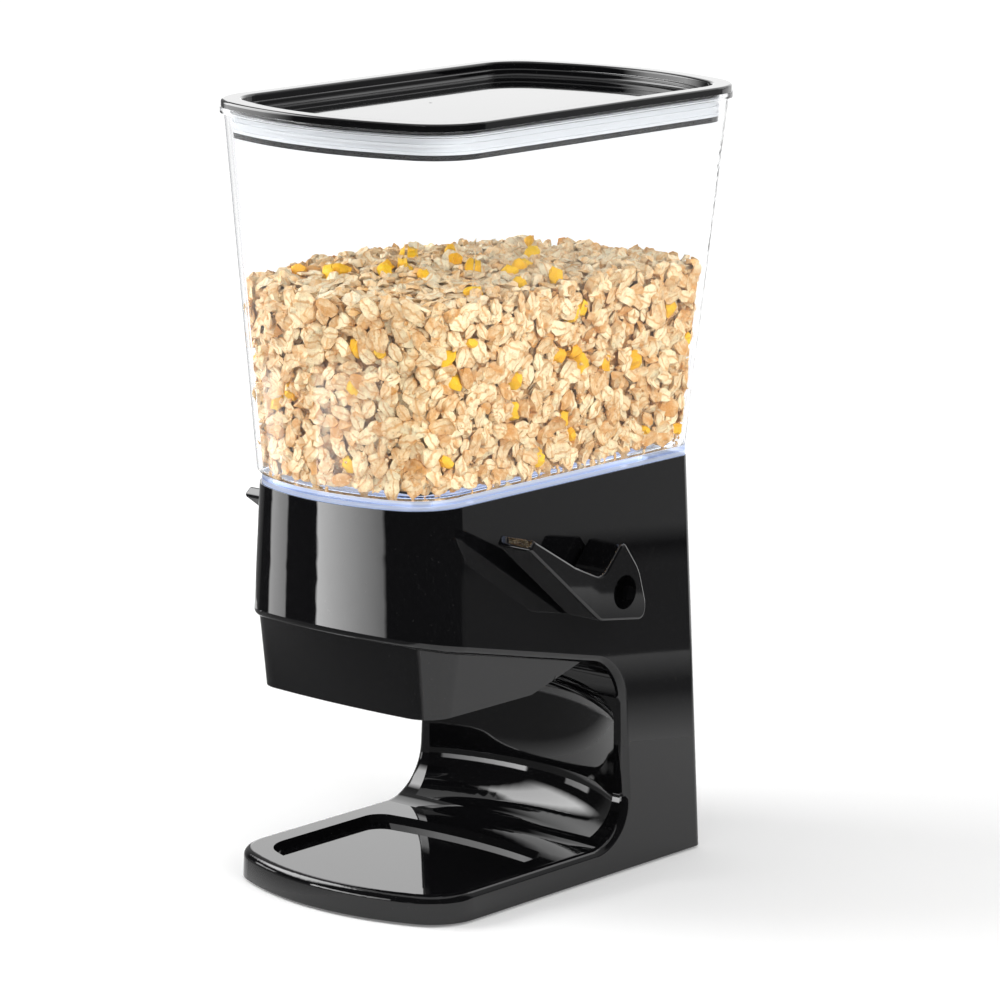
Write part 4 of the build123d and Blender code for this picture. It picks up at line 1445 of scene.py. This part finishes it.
    def _wall_places(self, depth: float, density: float) -> list[Matrix]:
        """Places of flakes against the hopper's wall.

        Args:
            depth: How far behind the first layer they lie.
            density: How close they lie; 1 is the first layer's.

        Returns:
            Places, with a turn and a size each.
        """
        places = []
        for height in np.arange(self.floor + 0.0045, self.level + 0.012, self.row_step / density):
            points, normals = self._ring(float(height))
            steps = np.linalg.norm(np.diff(points, axis=0), axis=1)
            along = np.concatenate(([0.0], np.cumsum(steps)))
            for start in np.arange(0.0, along[-1], self.column_step / density):
                spot = start + self.draw.uniform(-0.5, 0.5) * self.column_step
                index = int(np.searchsorted(along, spot % along[-1]).clip(0, len(points) - 1))
                normal, point = Vector(normals[index]), Vector(points[index])
                turn = self._lean(normal, math.radians(self.wall_lean))
                size = self.draw.uniform(*self.wall_sizes)
                slope = math.sqrt(max(0.0, 1 - (turn.col[2].normalized().dot(normal)) ** 2))
                reach = self.flake_radius * size * self.wall_reach
                inset = depth + reach * slope + self.wall_gap + self.draw.uniform(0, self.unevenness)
                point = point - normal * inset
                point.z += self.draw.uniform(-self.wall_jitter, self.wall_jitter) * self.row_step
                rise = reach * math.sqrt(max(0.0, 1 - turn.col[2].z ** 2)) + 0.0008
                point.z = max(point.z, self.floor + rise)
                if point.z < self._surface(point.x, point.y) - 0.001:
                    places.append(Matrix.LocRotScale(point, turn, Vector((size, size, size))))
        return places

    def _top_places(self, lift: float, density: float) -> list[Matrix]:
        """Places of flakes on the cereal's surface.

        Args:
            lift: Height over the surface.
            density: How close they lie.

        Returns:
            Places, with a turn and a size each.
        """
        places = []
        step = self.column_step / density
        points, _ = self._ring(self.level)
        (left, front, _), (right, back, _) = points.min(axis=0), points.max(axis=0)
        for x in np.arange(left, right, step):
            for y in np.arange(front, back, step):
                across, along = self.draw.uniform(-0.5, 0.5), self.draw.uniform(-0.5, 0.5)
                spot = Vector((x + across * step, y + along * step, 0.0))
                wobble = self.draw.uniform(-self.unevenness, self.unevenness)
                spot.z = self._surface(spot.x, spot.y) + lift + wobble
                near, normal, _, distance = self.tree.find_nearest(spot)
                size = self.draw.uniform(*self.top_sizes)
                turn = self._lean(Vector((0.0, 0.0, 1.0)), math.radians(self.top_lean))
                away = Vector((spot.x, spot.y, 0))
                inside = (near - spot).dot(normal) > 0 or (spot - near).dot(away) < 0
                if inside and distance > self.wall + self.flake_radius * size * self.top_reach:
                    places.append(Matrix.LocRotScale(spot, turn, Vector((size, size, size))))
        return places

    def _crumb_places(self, count: int) -> list[Matrix]:
        """Places of crumbs in the gaps along the wall.

        Args:
            count: How many.

        Returns:
            Places, with a turn and a size each.
        """
        places = []
        for _ in range(count):
            share = self.draw.uniform(0, 1) ** self.crumb_sinking
            height = self.floor + 0.0015 + (self.level - self.floor) * share
            points, normals = self._ring_at(height)
            index = int(self.draw.integers(len(points)))
            normal, point = Vector(normals[index]), Vector(points[index])
            point.z = height
            point -= normal * self.draw.uniform(*self.crumb_insets)
            size = self.draw.uniform(*self.crumb_sizes)
            places.append(Matrix.LocRotScale(point, self._lean(normal, 2.0), Vector((size, size, size))))
        return places

    def _ring_at(self, height: float) -> tuple[np.ndarray, np.ndarray]:
        """Ring of the nearest height among a few kept ones.

        Args:
            height: The height.

        Returns:
            Points on the wall and outward normals, in order round the hopper.
        """
        step = round(height / self.ring_step) * self.ring_step
        if step not in self.rings:
            self.rings[step] = self._ring(step)
        return self.rings[step]

    def _corn_places(self, count: int) -> list[Matrix]:
        """Places of corn pieces along the wall and on the surface.

        Args:
            count: How many.

        Returns:
            Places, with a turn and a size each.
        """
        places = []
        for number in range(count):
            size = self.draw.uniform(*self.kernel_sizes)
            height = self.draw.uniform(self.floor + 0.006, self.level - 0.004)
            points, normals = self._ring_at(height)
            index = int(self.draw.integers(len(points)))
            normal, point = Vector(normals[index]), Vector(points[index])
            if number % self.kernels_per_top == self.kernels_per_top - 1:
                share = self.draw.uniform(0.1, 0.9)
                point = Vector((point.x * share, self.middle_y + (point.y - self.middle_y) * share, 0.0))
                point.z = self._surface(point.x, point.y) + 0.001
            else:
                point -= normal * (self.kernel_reach * size)
            places.append(Matrix.LocRotScale(point, self._lean(normal, 3.0), Vector((size, size, size))))
        return places

    def _clear_of(self, places: list[Matrix], corn: list[Matrix]) -> list[Matrix]:
        """Flakes that would hide a piece of corn, left out.

        Args:
            places: Places of flakes.
            corn: Places of the corn.

        Returns:
            The places that stay.
        """
        spots = np.array([place.translation for place in corn])
        return [
            place
            for place in places
            if np.linalg.norm(spots - np.array(place.translation), axis=1).min() > self.corn_clearance
        ]

    def _scatter(
        self, name: str, templates: Sequence[Piece], places: Sequence[Matrix], finish: Finish
    ) -> None:
        """Copy the templates to their places and join the copies.

        Args:
            name: Name of the joined piece.
            templates: Shapes to choose from.
            places: Where they go.
            finish: Their finish.
        """
        copies = []
        for place in places:
            template = templates[int(self.draw.integers(len(templates)))]
            twin = copied(template)
            tones = np.full(len(twin.data.vertices), self.draw.beta(*self.tones))
            twin.data.attributes["tone"].data.foreach_set("value", tones)
            twin.matrix_world = place
            copies.append(twin)
        take(copies[0])
        for twin in copies[1:]:
            twin.select_set(True)
        bpy.ops.object.join()
        joined = bpy.context.active_object
        settle(joined)
        dress(joined, name, finish, Body.HOPPER)


def main() -> None:
    """Build everything in order."""
    EFFECTS.build()
    StudioCamera().build()
    Studio().build()
    PackedParts().dress()
    ReturnSprings().build()
    Cereal().build()


if __name__ == "__main__":
    logging.basicConfig(level=logging.INFO, format="%(message)s")
    main()
